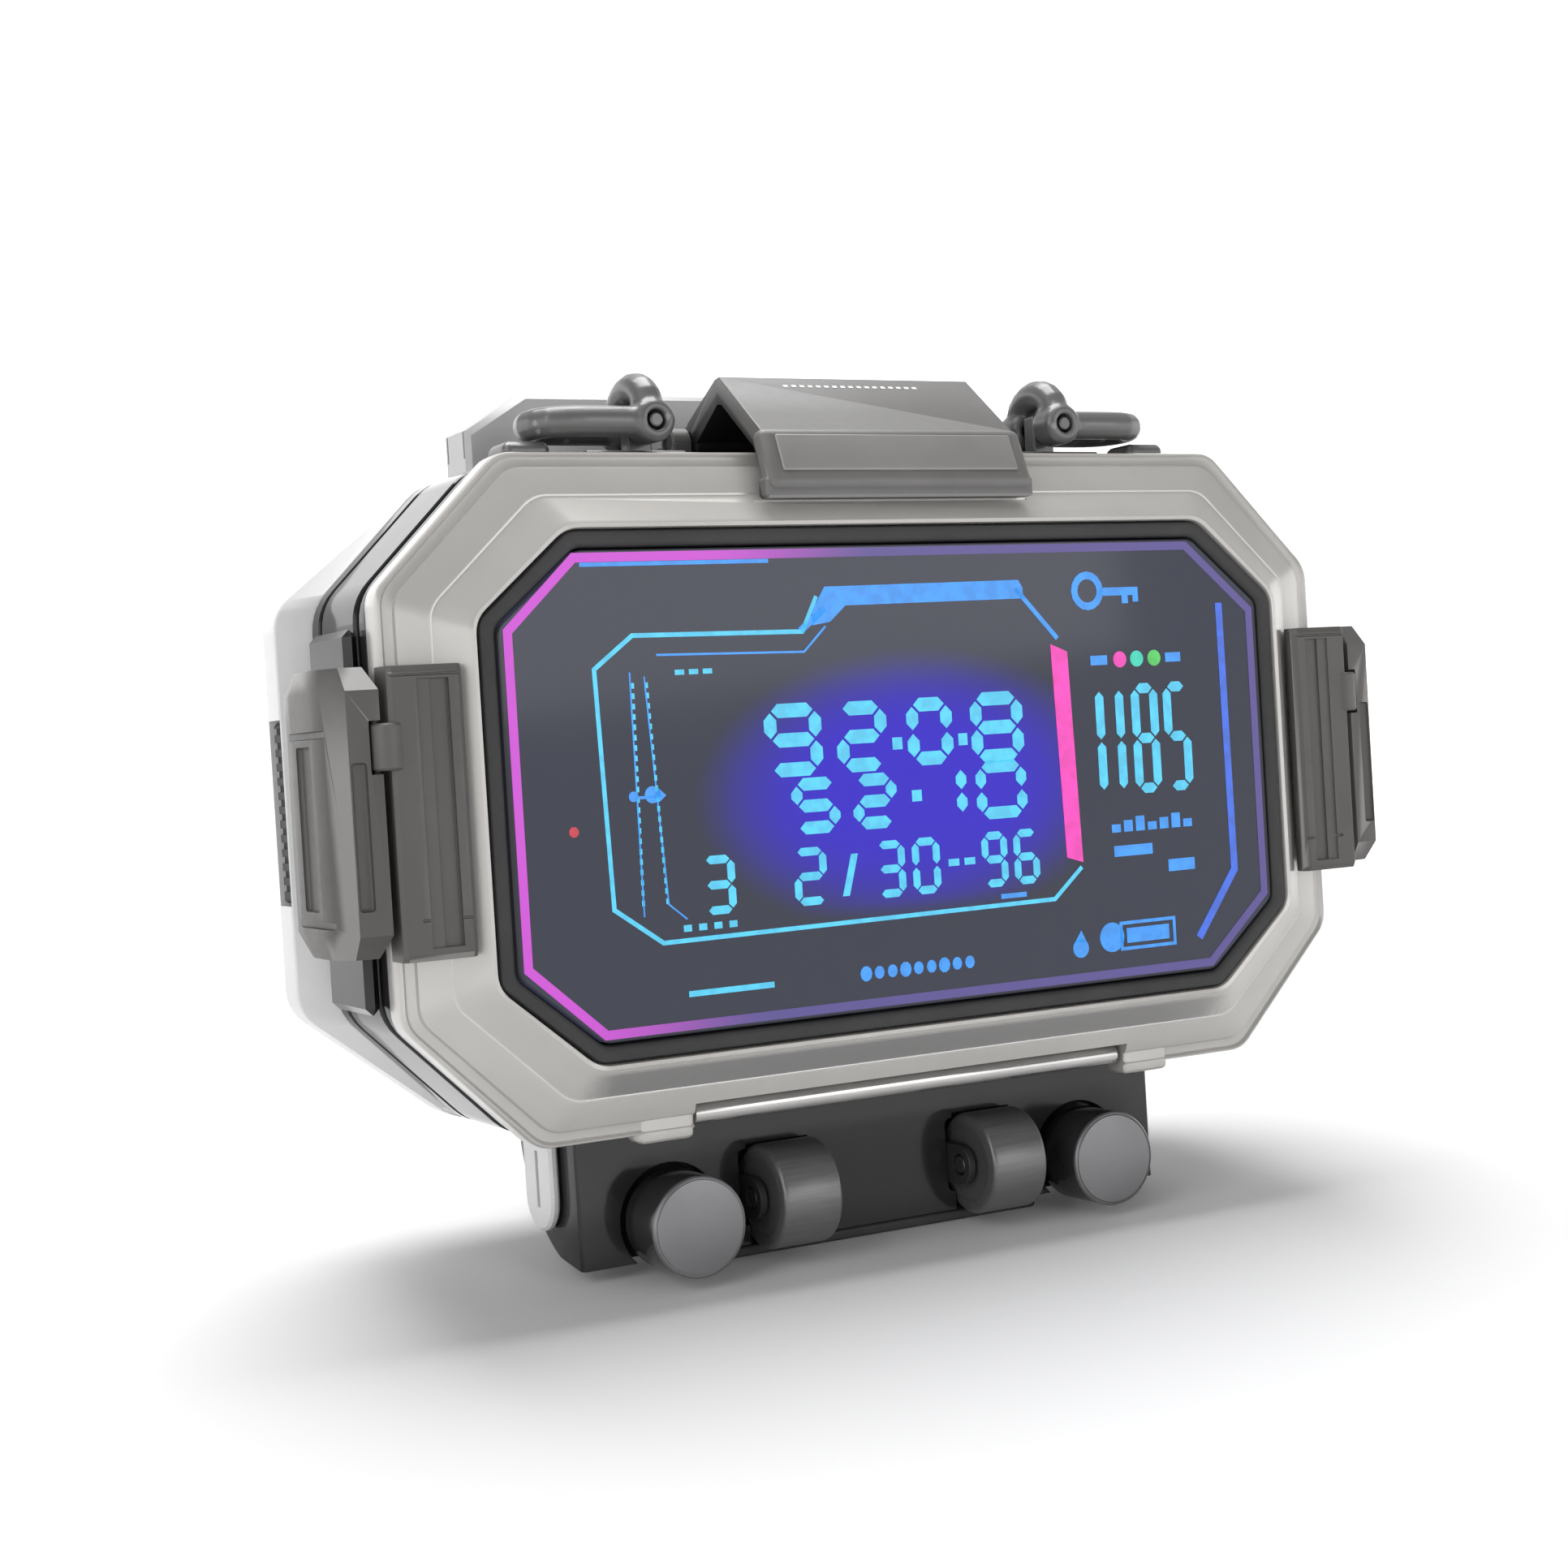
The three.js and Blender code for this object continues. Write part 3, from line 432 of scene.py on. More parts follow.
rubber = lacquer("black_rubber", (0.018, 0.018, 0.019), 0.62, grain=0.2)
gasket = octagon_ring("window_gasket_moulding", [
    grown(-0.1, 4.9), grown(-0.1, 0.1), grown(-0.35, -0.22), grown(-0.8, -0.3), grown(-1.7, -0.26),
    grown(-2.15, -0.05), grown(-2.35, 0.3), grown(-2.4, 0.9), grown(-2.4, 4.9)], rounding=1.1)
smooth(gasket, 40)
settle(gasket, rubber, "case", "black_rubber", "window_gasket")

pane = octagon_ring("smoked_pane", [grown(-2.9, 0.0), grown(-2.72, 0.12), grown(-2.7, 0.3), grown(-2.7, 1.6)],
                    rounding=0.9, closed=False)
smooth(pane, 30)
smoked = Coat("smoked_glass", (0.008, 0.009, 0.012), 0.07, Specular_IOR_Level=0.2)
right, back, up = smoked.case_place()
pane_x = right + 0.5
pane_z = up + 2
spot = (pane_x * pane_x) / 1000 + (pane_z * pane_z) / 330
in_frame = abs(right + 10.8).above(38.5, 34.5) * abs(up - 1.5).above(22.5, 18.5)
glow = spot.above(1.3, 0.15) * in_frame
haze = smoked.noise(26, 3)
violet = smoked.mix(glow * (0.85 + haze * 0.3), (0.03, 0.033, 0.052, 1), (0.03, 0.01, 0.56, 1))
edge_dark = abs(right).above(62.5, 60.8) * abs(up).above(33, 31.6)
smoked.set("Emission Color", smoked.mix(edge_dark, (0.012, 0.012, 0.014, 1), violet))
smoked.set("Emission Strength", 1.0)
smoked.set("Roughness", 0.05 + smoked.noise(40, 5) * 0.06)
settle(pane, smoked, "case", "screen_glass", "front_window")


# ---- Lit figures ---------------------------------------------------------------------------
# What the display shows: a border that runs from magenta to purple, a cyan frame with scales,
# seven-bar digits, and small bars and marks. Each is a thin lit segment laid on the pane.
def stroke(points, width, close=False):
    """The quads of a flat ribbon with mitred corners along a line on the pane."""
    count = len(points)
    spots = [Vector(p) for p in points]
    pairs = []
    for i, here in enumerate(spots):
        ways = []
        if i or close:
            ways.append((here - spots[i - 1]).normalized())
        if i < count - 1 or close:
            ways.append((spots[(i + 1) % count] - here).normalized())
        middle = sum(ways, Vector((0, 0))).normalized()
        across = Vector((-middle.y, middle.x))
        reach = width / 2 / max(0.4, across.dot(Vector((-ways[0].y, ways[0].x))))
        pairs.append((here + across * reach, here - across * reach))
    strips = [(i, (i + 1) % count) for i in range(count if close else count - 1)]
    return [[pairs[a][0], pairs[b][0], pairs[b][1], pairs[a][1]] for a, b in strips]


def flat_shapes(name, shapes, thick):
    """Thin upright plates. A shape is a list of corners, in mm to the right and up."""
    bpy.ops.mesh.primitive_plane_add(size=0.01)
    piece = bpy.context.object
    piece.name = name
    bpy.ops.object.mode_set(mode="EDIT")
    bpy.ops.mesh.delete(type="VERT")
    mesh = bmesh.from_edit_mesh(piece.data)
    for corners in shapes:
        mesh.faces.new([mesh.verts.new((x * MM, 0, z * MM)) for x, z in corners])
    bmesh.update_edit_mesh(piece.data)
    bpy.ops.mesh.select_all(action="SELECT")
    bpy.ops.mesh.extrude_region_move(TRANSFORM_OT_translate={"value": (0, -thick * MM, 0)})
    bpy.ops.mesh.select_all(action="SELECT")
    bpy.ops.mesh.normals_make_consistent(inside=False)
    bpy.ops.object.mode_set(mode="OBJECT")
    return piece


def lit_piece(name, shapes, coat):
    """Lit segments just in front of the pane."""
    piece = flat_shapes(name, shapes, 0.05)
    piece.data.transform(Matrix.Translation((0, -0.03 * MM, 0)))
    return settle(piece, coat, "case", "display")


def lit(name, color, strength=1.0):
    coat = Coat(name, (0.01, 0.01, 0.01), 0.35)
    dim = tuple(c * 0.8 for c in color) + (1,)
    coat.set("Emission Color", coat.mix(coat.noise(500, 2).above(0.35, 0.65), dim, (*color, 1)))
    coat.set("Emission Strength", strength)
    return coat


def box_at(x0, z0, x1, z1):
    return [(x0, z0), (x1, z0), (x1, z1), (x0, z1)]


SEGMENTS = {"0": "abcdef", "1": "bc", "2": "abged", "3": "abgcd", "4": "fgbc", "5": "afgcd", "6": "afgedc",
            "7": "abc", "8": "abcdefg", "9": "abcdfg"}


def digit(figure, x, z, wide, high, bar):
    """The bars of a seven-bar figure whose lower left corner is at (x, z), with pointed ends."""
    half, gap = bar / 2, bar * 0.14
    left, right, low, top, mid = x + half, x + wide - half, z + half, z + high - half, z + high / 2
    runs = {"a": (left, top, right, top), "g": (left, mid, right, mid), "d": (left, low, right, low),
            "f": (left, mid, left, top), "b": (right, mid, right, top),
            "e": (left, low, left, mid), "c": (right, low, right, mid)}
    shapes = []
    for name in SEGMENTS[figure]:
        x0, z0, x1, z1 = runs[name]
        along = Vector((x1 - x0, z1 - z0)).normalized()
        side = Vector((-along.y, along.x)) * half
        start, end = Vector((x0, z0)) + along * gap, Vector((x1, z1)) - along * gap
        shapes.append([start, start + along * half + side, end - along * half + side, end,
                       end - along * half - side, start + along * half - side])
    return shapes


def disc(x, z, r, sides=18, squash=1.0):
    return [(x + r * math.cos(2 * math.pi * i / sides), z + r * squash * math.sin(2 * math.pi * i / sides))
            for i in range(sides)]


cyan = lit("lit_cyan", (0.07, 0.66, 1.0))
sky = lit("lit_sky_blue", (0.025, 0.33, 1.0))
deep = lit("lit_deep_blue", (0.03, 0.14, 0.8))
pink = lit("lit_pink", (1.0, 0.035, 0.53))
teal = lit("lit_teal", (0.02, 0.75, 0.55), 0.9)
green = lit("lit_green", (0.08, 0.7, 0.12), 0.9)
red = lit("lit_red", (0.75, 0.02, 0.06), 0.8)

edge_glow = Coat("lit_border", (0.01, 0.01, 0.01), 0.35)
right, back, up = edge_glow.case_place()
to_left = (right + up * -0.35).above(-14, -46)
edge_glow.set("Emission Color", edge_glow.mix(to_left, (0.075, 0.05, 0.27, 1), (0.62, 0.05, 0.66, 1)))
edge_glow.set("Emission Strength", 0.95)
border = [(-51, 31.6), (49.4, 31.6), (60.9, 21.6), (60.9, -21.8), (50, -31.5), (-50.4, -31.5),
          (-60.9, -21.9), (-60.9, 22.2)]
lit_piece("lit_border_line", stroke(border, 1.25, close=True), edge_glow)
lit_piece("lit_border_inner", stroke([(-50.2, 30.65), (-22, 30.65)], 0.55), sky)

frame_line = [(-14.8, 25.6), (-17.3, 20.8), (-43.2, 21.1), (-49, 16.8), (-48.2, -15.1), (-41.3, -20.1),
              (22.1, -19.6), (27.2, -15.3)]
lit_piece("lit_frame_line", stroke(frame_line, 0.62), cyan)
frame_corner = stroke([(18.3, 25.9), (25.2, 18.4)], 0.7)
frame_step = stroke([(-17.6, 20.9), (-13.6, 23.9)], 1.0)
lit_piece("lit_frame_corner", frame_corner + frame_step, sky)
frame_band = [(-15.6, 23.6), (-13.4, 26.9), (18.9, 27.1), (19.6, 26.0), (19.6, 24.4), (-10.2, 24.2),
              (-12.8, 22.0), (-15.6, 21.6)]
lit_piece("lit_frame_band", [frame_band], sky)
lit_piece("lit_frame_bar", [[(23.9, 17.6), (26.8, 16.4), (27.5, -14.6), (24.7, -13.7)]], pink)

dashes = []
for row in range(22):
    z = 14.8 - row * 1.38
    dashes.append(box_at(-43.75 - row * 0.018, z - 0.75, -43.35 - row * 0.018, z))
    dashes.append(box_at(-41.7 + row * 0.055, z - 0.75, -41.3 + row * 0.055, z))
lit_piece("lit_scale_dashes", dashes, cyan)
inner_line = stroke([(-39.8, 18.4), (-17.2, 18.0), (-13.6, 21.4)], 0.3)
scale_left = stroke([(-43.9, 16.2), (-43.9, -16.4)], 0.22)
scale_right = stroke([(-41.8, 15.6), (-40.2, -15.0), (-37.6, -17.2)], 0.22)
lit_piece("lit_inner_line", inner_line + scale_left + scale_right, sky)
slider_tip = [(-40.9, -1.4), (-39.6, -0.4), (-40.9, 0.8)]
slider_bar = box_at(-43.8, -0.7, -40.2, -0.3)
lit_piece("lit_scale_slider", [disc(-44.4, -0.3, 0.7), disc(-41.6, -0.2, 1.15), slider_bar, slider_tip], sky)

figures = []
for figure, x, z, wide, high in (("9", -24.2, 0.9, 9.0, 10.1), ("2", -12.9, 0.9, 8.2, 9.9),
                                 ("0", -1.4, 1.2, 7.6, 9.6), ("8", 9.3, 0.9, 9.0, 10.2)):
    figures += digit(figure, x, z, wide, high, 1.95)
for figure, x, z, wide, high in (("5", -20.6, -7.2, 7.6, 7.8), ("2", -10.9, -7.2, 7.2, 7.8),
                                 ("1", 2.6, -6.9, 5.4, 8.2), ("0", 9.6, -7.2, 8.7, 8.4)):
    figures += digit(figure, x, z, wide, high, 1.75)
figures += [box_at(-3.9, 3.7, -2.3, 5.4), box_at(7.1, 3.7, 8.6, 5.4), box_at(-1.2, -3.8, 0.4, -2.2)]
lit_piece("lit_main_figures", figures, cyan)
small = []
for figure, x, wide in (("3", -35.0, 5.0), ("2", -20.9, 5.2), ("3", -7.8, 4.8), ("0", -1.8, 4.6),
                        ("9", 9.9, 4.4), ("6", 15.4, 4.4)):
    small += digit(figure, x, -17.0, wide, 8.0, 1.15)
small += [[(-13.4, -16.2), (-12.3, -16.2), (-10.6, -10.4), (-11.7, -10.4)]]
small += [box_at(4.2, -13.4, 6.0, -12.4), box_at(6.9, -13.4, 8.7, -12.4)]
lit_piece("lit_small_figures", small, cyan)
labels = []
for i in range(3):
    labels.append(box_at(-37.2 + i * 2.1, 15.6, -35.8 + i * 2.1, 16.3))
for i in range(4):
    labels.append(box_at(-38.2 + i * 2.3, -18.9, -37.0 + i * 2.3, -18.0))
labels.append(box_at(-38.0, -27.7, -25.0, -26.9))
lit_piece("lit_labels", labels, cyan)
row = [box_at(12.8, -18.8, 17.2, -18.1)]
for i in range(9):
    row.append(disc(-10.4 + i * 2.15, -27.3, 0.8 if i % 3 else 0.95, 10, 1.15))
row += [box_at(33.2, -14.3, 40.2, -12.7), box_at(43.0, -17.2, 47.9, -15.4)]
for i in range(7):
    row.append(box_at(33.0 + i * 2.2, -10.7, 34.6 + i * 2.2, -9.5 + 0.5 * (i % 3)))
lit_piece("lit_blue_marks", row, sky)

tall = []
for figure, x, wide in (("1", 29.8, 3.0), ("1", 33.4, 3.0), ("8", 37.8, 4.9), ("5", 43.7, 4.9)):
    tall += digit(figure, x, -5.2, wide, 16.4, 1.5)
lit_piece("lit_tall_figures", tall, cyan)
lit_piece("lit_dots_blue", [box_at(30.9, 14.2, 33.9, 15.6), box_at(44.6, 14.2, 47.4, 15.6)], sky)
lit_piece("lit_dot_pink", [disc(36.2, 14.9, 1.2)], pink)
lit_piece("lit_dot_teal", [disc(39.3, 14.9, 1.2)], teal)
lit_piece("lit_dot_green", [disc(42.5, 14.9, 1.2)], green)
lit_piece("lit_dot_red", [disc(-53.3, -4.4, 0.7)], red)
icons = stroke(disc(31.0, 25.2, 2.3, 16), 1.1, close=True)
icons += [box_at(33.2, 24.4, 40.2, 25.6), box_at(37.2, 23.2, 38.3, 24.6), box_at(39.2, 23.4, 40.2, 24.6)]
icons += [disc(26.2, -27.2, 1.4), [(25.1, -26.4), (27.3, -26.4), (26.4, -24.6)]]
icons += stroke([(33.6, -28.0), (43.4, -28.0), (43.4, -24.2), (33.6, -24.2)], 0.5, close=True)
icons += [box_at(34.6, -27.2, 42.4, -25.0), disc(31.9, -26.1, 2.2)]
lit_piece("lit_icons", icons, sky)
lit_piece("lit_edge_line", stroke([(55.2, 22.8), (55.4, -17.8), (48.0, -27.6)], 1.25), deep)


# ---- Body, rear shell and rear panel -------------------------------------------------------
# Behind the front frame: a gloss-black moulded band on a soft seal, then a pearl-white rear
# shell with ribbed rubber grips, closed by a screwed panel with the battery cover in it.
def turned(name, axis, radius, start, end, a, b, edge=0.3, sides=48):
    """A round bar along an axis of the upright case, from start to end, with rounded ends, in mm."""
    bpy.ops.mesh.primitive_cylinder_add(radius=radius * MM, depth=(end - start) * MM, vertices=sides)
    piece = bpy.context.object
    piece.name = name
    middle = (start + end) / 2
    place, turn = {"x": ((middle, a, b), Matrix.Rotation(math.pi / 2, 4, "Y")),
                   "y": ((a, middle, b), Matrix.Rotation(math.pi / 2, 4, "X")),
                   "z": ((a, b, middle), Matrix.Identity(4))}[axis]
    piece.data.transform(Matrix.Translation(Vector(place) * MM) @ turn)
    if edge:
        soften(piece, edge, 3, 40)
    return piece


def refined(node, name, width=0.4, cutters=(), segments=3, angle=25):
    """A copy of a frame piece on the upright case: facets merged, cuts made, edges rounded."""
    piece = bpy.data.objects.new(name, frame["nodes"][node].data.copy())
    bpy.context.collection.objects.link(piece)
    piece.data.transform(CASE.inverted())
    bpy.context.view_layer.objects.active = piece
    bpy.ops.mesh.customdata_custom_splitnormals_clear()
    bpy.ops.object.mode_set(mode="EDIT")
    bpy.ops.mesh.select_all(action="SELECT")
    bpy.ops.mesh.remove_doubles(threshold=0.00001)
    bpy.ops.mesh.dissolve_limited(angle_limit=math.radians(2))
    bpy.ops.object.mode_set(mode="OBJECT")
    carve(piece, *cutters)
    soften(piece, width, segments, angle)
    apply_modifier(piece, "WEIGHTED_NORMAL", keep_sharp=True)
    return piece


def stand_in(piece, coat, node):
    """Puts a piece in the place of one frame piece, on that piece's own body, with the finish given."""
    return settle(piece, coat, BODY_OF[node], SLOT_OF[node], node)


def edge_highlit_coat(name, color, roughness, light, **fixed):
    """A coated casting whose rounded edges carry a painted highlight: a little lighter, and smoother as well.
    """
    coat = Coat(name, color, roughness, **fixed)
    point_up = coat.node("ShaderNodeNewGeometry", {}, output="Pointiness")
    edge_jitter = coat.noise(140, 5)
    # Painted highlight: the convex edges, found by their pointiness, are painted lighter.
    painted_edge_highlight = (point_up + edge_jitter * 0.03).above(0.545, 0.62) * 0.8
    cloud = coat.mix(coat.noise(45, 4).above(0.3, 0.7), tuple(c * 0.9 for c in color) + (1,),
                     tuple(c * 1.1 for c in color) + (1,))
    coat.tone = coat.mix(painted_edge_highlight, cloud, (*light, 1))
    coat.set("Base Color", coat.tone)
    coat.set("Roughness", roughness - painted_edge_highlight * 0.12 + coat.noise(700, 2) * 0.1)
    coat.bump(coat.noise(1100, 3), 0.00005, 0.16)
    return coat


gloss = Coat("gloss_dark", (0.018, 0.018, 0.019), 0.1, Specular_IOR_Level=0.3)
gloss.set("Roughness", 0.08 + gloss.noise(30, 5).above(0.35, 0.75) * 0.09)
gloss.set("Base Color", gloss.mix(gloss.noise(12, 2), (0.012, 0.012, 0.013, 1), (0.024, 0.024, 0.026, 1)))
gloss.bump(gloss.noise(180, 2), 0.00003, 0.08)
pearl = lacquer("pearl_shell", (0.57, 0.57, 0.575), 0.34, grain=0.02, Coat_Weight=0.35, Coat_Roughness=0.2)
steel = lacquer("bright_steel", (0.6, 0.6, 0.61), 0.24, grain=0.08, Metallic=1.0)

seal = octagon_ring("body_seal", [
    inside_case(1.7, 9.8), inside_case(1.4, 9.95), inside_case(1.4, 10.65),
    inside_case(1.7, 10.8), inside_case(3.6, 10.8), inside_case(3.6, 9.8)], rounding=3)
smooth(seal)
stand_in(seal, rubber, "body_gasket")

band = octagon_ring("gloss_body_band", [
    inside_case(3.6, 11.1), inside_case(1.0, 11.1), inside_case(0.65, 11.3), inside_case(0.6, 11.7),
    inside_case(0.6, 13.4), inside_case(0.75, 13.7), inside_case(1.5, 13.9), inside_case(1.6, 14.2),
    inside_case(1.6, 15.3), inside_case(1.5, 15.6), inside_case(0.75, 15.8), inside_case(0.6, 16.1),
    inside_case(0.6, 29.2), inside_case(0.8, 29.5), inside_case(1.3, 29.6), inside_case(1.3, 30.5),
    inside_case(0.8, 30.6), inside_case(0.6, 30.9), inside_case(0.6, 33.5), inside_case(1.0, 33.9),
    inside_case(3.6, 34.0)], rounding=3.4)
smooth(band, 24)
stand_in(band, gloss, "mid_body")

SHELL_SPREAD = 4.6


def flared(by, y):
    """A station of the rear shell, which spreads sideways past the body, less this much all round."""
    half, high, cut_x, cut_z, _ = inside_case(0.6 + by, y)
    return half + SHELL_SPREAD, high, cut_x + SHELL_SPREAD, cut_z, y


shell = octagon_ring("rear_shell_moulding", [
    inside_case(3.7, 41), inside_case(3.7, 34.4), inside_case(1.1, 34.35), inside_case(0.65, 34.45),
    flared(0.25, 36.4), flared(0.05, 36.65), flared(0, 37.0), flared(0, 41.6),
    flared(0.15, 42.3), flared(0.7, 43.3), flared(1.6, 44.0)], rounding=3.0, closed=False)
carve(shell, *[slab(side * 80.9 - 1.9, side * 80.9 + 1.9, 36.6, 41.4, -13, 13, f"grip_bed_{side}")
               for side in (-1, 1)])
smooth(shell, 20)
stand_in(shell, pearl, "rear_shell")

for hand, side in (("left", -1), ("right", 1)):
    ribs = [slab(side * 80.8 - 0.9, side * 80.8 + 0.9, 36, 42, z, z + 0.9, f"rib_gap_{z}")
            for z in range(-11, 12, 2)]
    stand_in(refined(f"grip_{hand}", f"ribbed_grip_{hand}", 0.22, ribs, segments=2), rubber, f"grip_{hand}")

panel = octagon_ring("rear_panel_moulding", [
    inside_case(2.8, 44.3), inside_case(2.8, 49.3), inside_case(2.95, 49.8), inside_case(3.4, 50.35),
    inside_case(4.2, 50.7)], rounding=3, closed=False)
carve(panel, slab(-30.3, 30.3, 48.4, 52, -14.3, 26.3),
      *[turned("screw_hole", "y", 3.5, 48.6, 52, x, z, edge=0) for x in (-64, 64) for z in (-21, 21)],
      *[slab(x0, x0 + 12, 49.6, 52, z, z + 1.2, f"vent_{x0}_{z}") for x0 in (-54, 42) for z in range(-6, 9, 3)])
smooth(panel, 24)
stand_in(panel, pearl, "rear_panel")

cover = refined("battery_cover", "battery_cover_lid", 0.7, [
    *[slab(-9, 9, 50.7, 52, z, z + 0.8, f"cover_rib_{z}") for z in range(16, 23, 2)],
    slab(-7, 7, 50.2, 52, 23.6, 25.2, "thumb_notch")])
stand_in(cover, pearl, "battery_cover")
for number in range(1, 5):
    stand_in(refined(f"rear_screw_{number}", f"slotted_screw_{number}", 0.18), steel, f"rear_screw_{number}")

block = refined("rear_top_block", "rear_top_housing", 1.0, [
    slab(-52, 52, 41.4, 41.8, 50, 62, "seam_front"), slab(-52, 52, 47.9, 48.3, 50, 62, "seam_back"),
    *[slab(x, x + 1.4, 43, 46.6, 58.2, 62, f"top_vent_{x}") for x in range(-12, 12, 3)]])
# Painted shade: the top housing is pearl like the shell, but is painted a darker grey for the shade it sits in.
housing_painted_shade = lacquer("housing_painted_shade", (0.3, 0.3, 0.3), 0.34, grain=0.04, Coat_Weight=0.35, Coat_Roughness=0.2)
stand_in(block, housing_painted_shade, "rear_top_block")

board_coat = lacquer("board_green", (0.012, 0.1, 0.045), 0.45, grain=0.25)
cell_coat = lacquer("battery_wrap", (0.06, 0.08, 0.1), 0.4, grain=0.15)
module_coat = lacquer("display_module", (0.03, 0.025, 0.3), 0.3, grain=0.1)
for node, coat in (("display_panel", module_coat), ("main_board", board_coat), ("battery_pack", cell_coat),
                   ("control_board", board_coat)):
    stand_in(refined(node, f"{node}_inside", 0.15, segments=2), coat, node)


# ---- Bridge latch --------------------------------------------------------------------------
# A die-cast arch hinged at its back. Its lip holds the front frame's top, a lighter panel is
# set in its brow, and one row of plain dashes is printed on its slope.
latch_coat = edge_highlit_coat("latch_casting", (0.105, 0.102, 0.1), 0.4, (0.22, 0.216, 0.212))
pin_dark = lacquer("burnished_pin", (0.09, 0.09, 0.092), 0.3, grain=0.1, Metallic=0.8)
latch_panel = edge_highlit_coat("latch_panel", (0.165, 0.16, 0.157), 0.36, (0.27, 0.265, 0.26))


def on_slope(piece, y, z, angle):
    """Tips a flat piece back from upright, and moves its middle to a place on the case, in mm."""
    piece.data.transform(Matrix.Translation((0, y * MM, z * MM)) @ Matrix.Rotation(-angle, 4, "X"))
    return piece


brow = math.atan2(2.8, 7.0)
slope = math.atan2(11.3, 9.0)
brow_bed = on_slope(slab(-19.6, 19.6, -2.5, -0.4, -2.9, 3.3, "brow_bed"), 0.4, 45.1, brow)
soften(brow_bed, 1.1)
latch = refined("top_latch", "bridge_latch", 1.0, segments=4)
brow_block = on_slope(slab(-21.7, 21.7, -0.75, 2.2, -4.9, 4.6, "brow_block"), 0.4, 44.9, brow)
soften(brow_block, 1.4, 4)
unite(latch, brow_block)
carve(latch, brow_bed)
smooth(latch)
arch_coat = edge_highlit_coat("latch_arch", (0.105, 0.102, 0.1), 0.4, (0.22, 0.216, 0.212))
right, back, up = arch_coat.case_place()
# Painted shade: where the hollow under the arch shows, the casting is painted near black.
painted_hollow_shade = (((back - 2.2) * 9 - (up - 49) * 11.3) / 14.4).above(1.8, 2.6)
painted_hollow_shade = painted_hollow_shade * (((back + 1) * 7 - (up - 41.5) * 2.8) / 7.54).above(1.6, 2.4)
painted_hollow_shade = painted_hollow_shade * (((back - 14.9) * -5.2 - (up - 57.8) * 9.6) / 10.9).above(1.6, 2.4)
arch_coat.set("Base Color", arch_coat.mix(painted_hollow_shade, arch_coat.tone, (0.012, 0.012, 0.012, 1)))
stand_in(latch, arch_coat, "top_latch")
brow_panel = on_slope(slab(-19.3, 19.3, -0.95, -0.35, -2.6, 3.0, "latch_brow_panel"), 0.4, 45.1, brow)
soften(brow_panel, 0.35)
settle(brow_panel, latch_panel, "latch", "latch_grey")

print_white = lacquer("printed_white", (0.8, 0.8, 0.79), 0.5, grain=0.04)
dash_row = [box_at(-11.5 + i * 1.35, 4.6, -10.8 + i * 1.35, 5.1) for i in range(17)]
latch_dashes = flat_shapes("latch_dashes", dash_row, 0.04)
settle(on_slope(latch_dashes, 7.83, 53.52, slope), print_white, "latch", "latch_grey")

stand_in(refined("latch_hinge_block", "latch_hinge_seat", 0.35), latch_coat, "latch_hinge_block")
stand_in(refined("latch_pin", "latch_hinge_pin", 0.15), pin_dark, "latch_pin")
ring_coat = edge_highlit_coat("ring_casting", (0.09, 0.089, 0.089), 0.32, (0.2, 0.198, 0.196), Coat_Weight=0.25)
stand_in(refined("top_saddle", "sensor_saddle", 0.25), ring_coat, "top_saddle")
stand_in(refined("acoustic_sensor", "sensor_button", 0.15), steel, "acoustic_sensor")


# ---- Carrying rings ------------------------------------------------------------------------
# Two soft-cornered cast rings, left and right of the latch. Each turns on a pin through a lug
# and lies on a small rest at its far end.
for hand in ("left", "right"):
    ring = refined(f"ring_{hand}", f"cast_ring_{hand}", 0.3, segments=2)
    apply_modifier(ring, "REMESH", mode="VOXEL", voxel_size=0.32 * MM)
    apply_modifier(ring, "SMOOTH", factor=0.5, iterations=9)
    smooth(ring, 60)
    stand_in(ring, ring_coat, f"ring_{hand}")
    stand_in(refined(f"lug_{hand}", f"ring_lug_{hand}", 0.55), ring_coat, f"lug_{hand}")
    stand_in(refined(f"ring_rest_{hand}", f"ring_rest_pad_{hand}", 0.6), ring_coat, f"ring_rest_{hand}")
    stand_in(refined(f"ring_pin_{hand}", f"ring_lug_pin_{hand}", 0.15), pin_dark, f"ring_pin_{hand}")


# ---- Side clasps ---------------------------------------------------------------------------
# Over-centre clasps: a lever on a pinned base at each side, and a stepped hook plate hinged to
# it that grips the front frame. Warm grey die-castings whose edges are painted pale as a painted highlight.
clasp_coat = edge_highlit_coat("clasp_casting", (0.06, 0.056, 0.053), 0.42, (0.2, 0.191, 0.183))
for hand, side in (("left", -1), ("right", 1)):
    def beside(x0, x1, *rest):
        return slab(*sorted((side * x0, side * x1)), *rest)

    lever = refined(f"clasp_lever_{hand}", f"clasp_lever_casting_{hand}", 1.1, segments=4)
    channels = [beside(81.2, 83.2, -3, -0.1, -12.4, 6.4, "front_channel"),
                beside(85.3, 88, 7.0, 12.8, -12.4, 8.8, "side_channel")]
    for channel in channels:
        soften(channel, 0.45)
    carve(lever, *channels)
    smooth(lever)
    stand_in(lever, clasp_coat, f"clasp_lever_{hand}")
    hook = refined(f"clasp_hook_{hand}", f"clasp_hook_plate_{hand}", 0.32, [
        beside(70.1, 72.6, -4, -1.35, -17.6, 16.6, "step_low"),
        beside(72.6, 74.4, -4, -1.7, -17.6, 16.6, "step_mid"),
        beside(67, 79, -4, -1.7, 17.0, 17.35, "head_line"),
        beside(67, 75.5, -4, -1.7, -14.2, -13.85, "foot_line")])
    stand_in(hook, clasp_coat, f"clasp_hook_{hand}")
    stand_in(refined(f"clasp_base_{hand}", f"clasp_base_casting_{hand}", 0.5), gloss, f"clasp_base_{hand}")
    stand_in(refined(f"clasp_pin_{hand}", f"clasp_hinge_pin_{hand}", 0.15), steel, f"clasp_pin_{hand}")


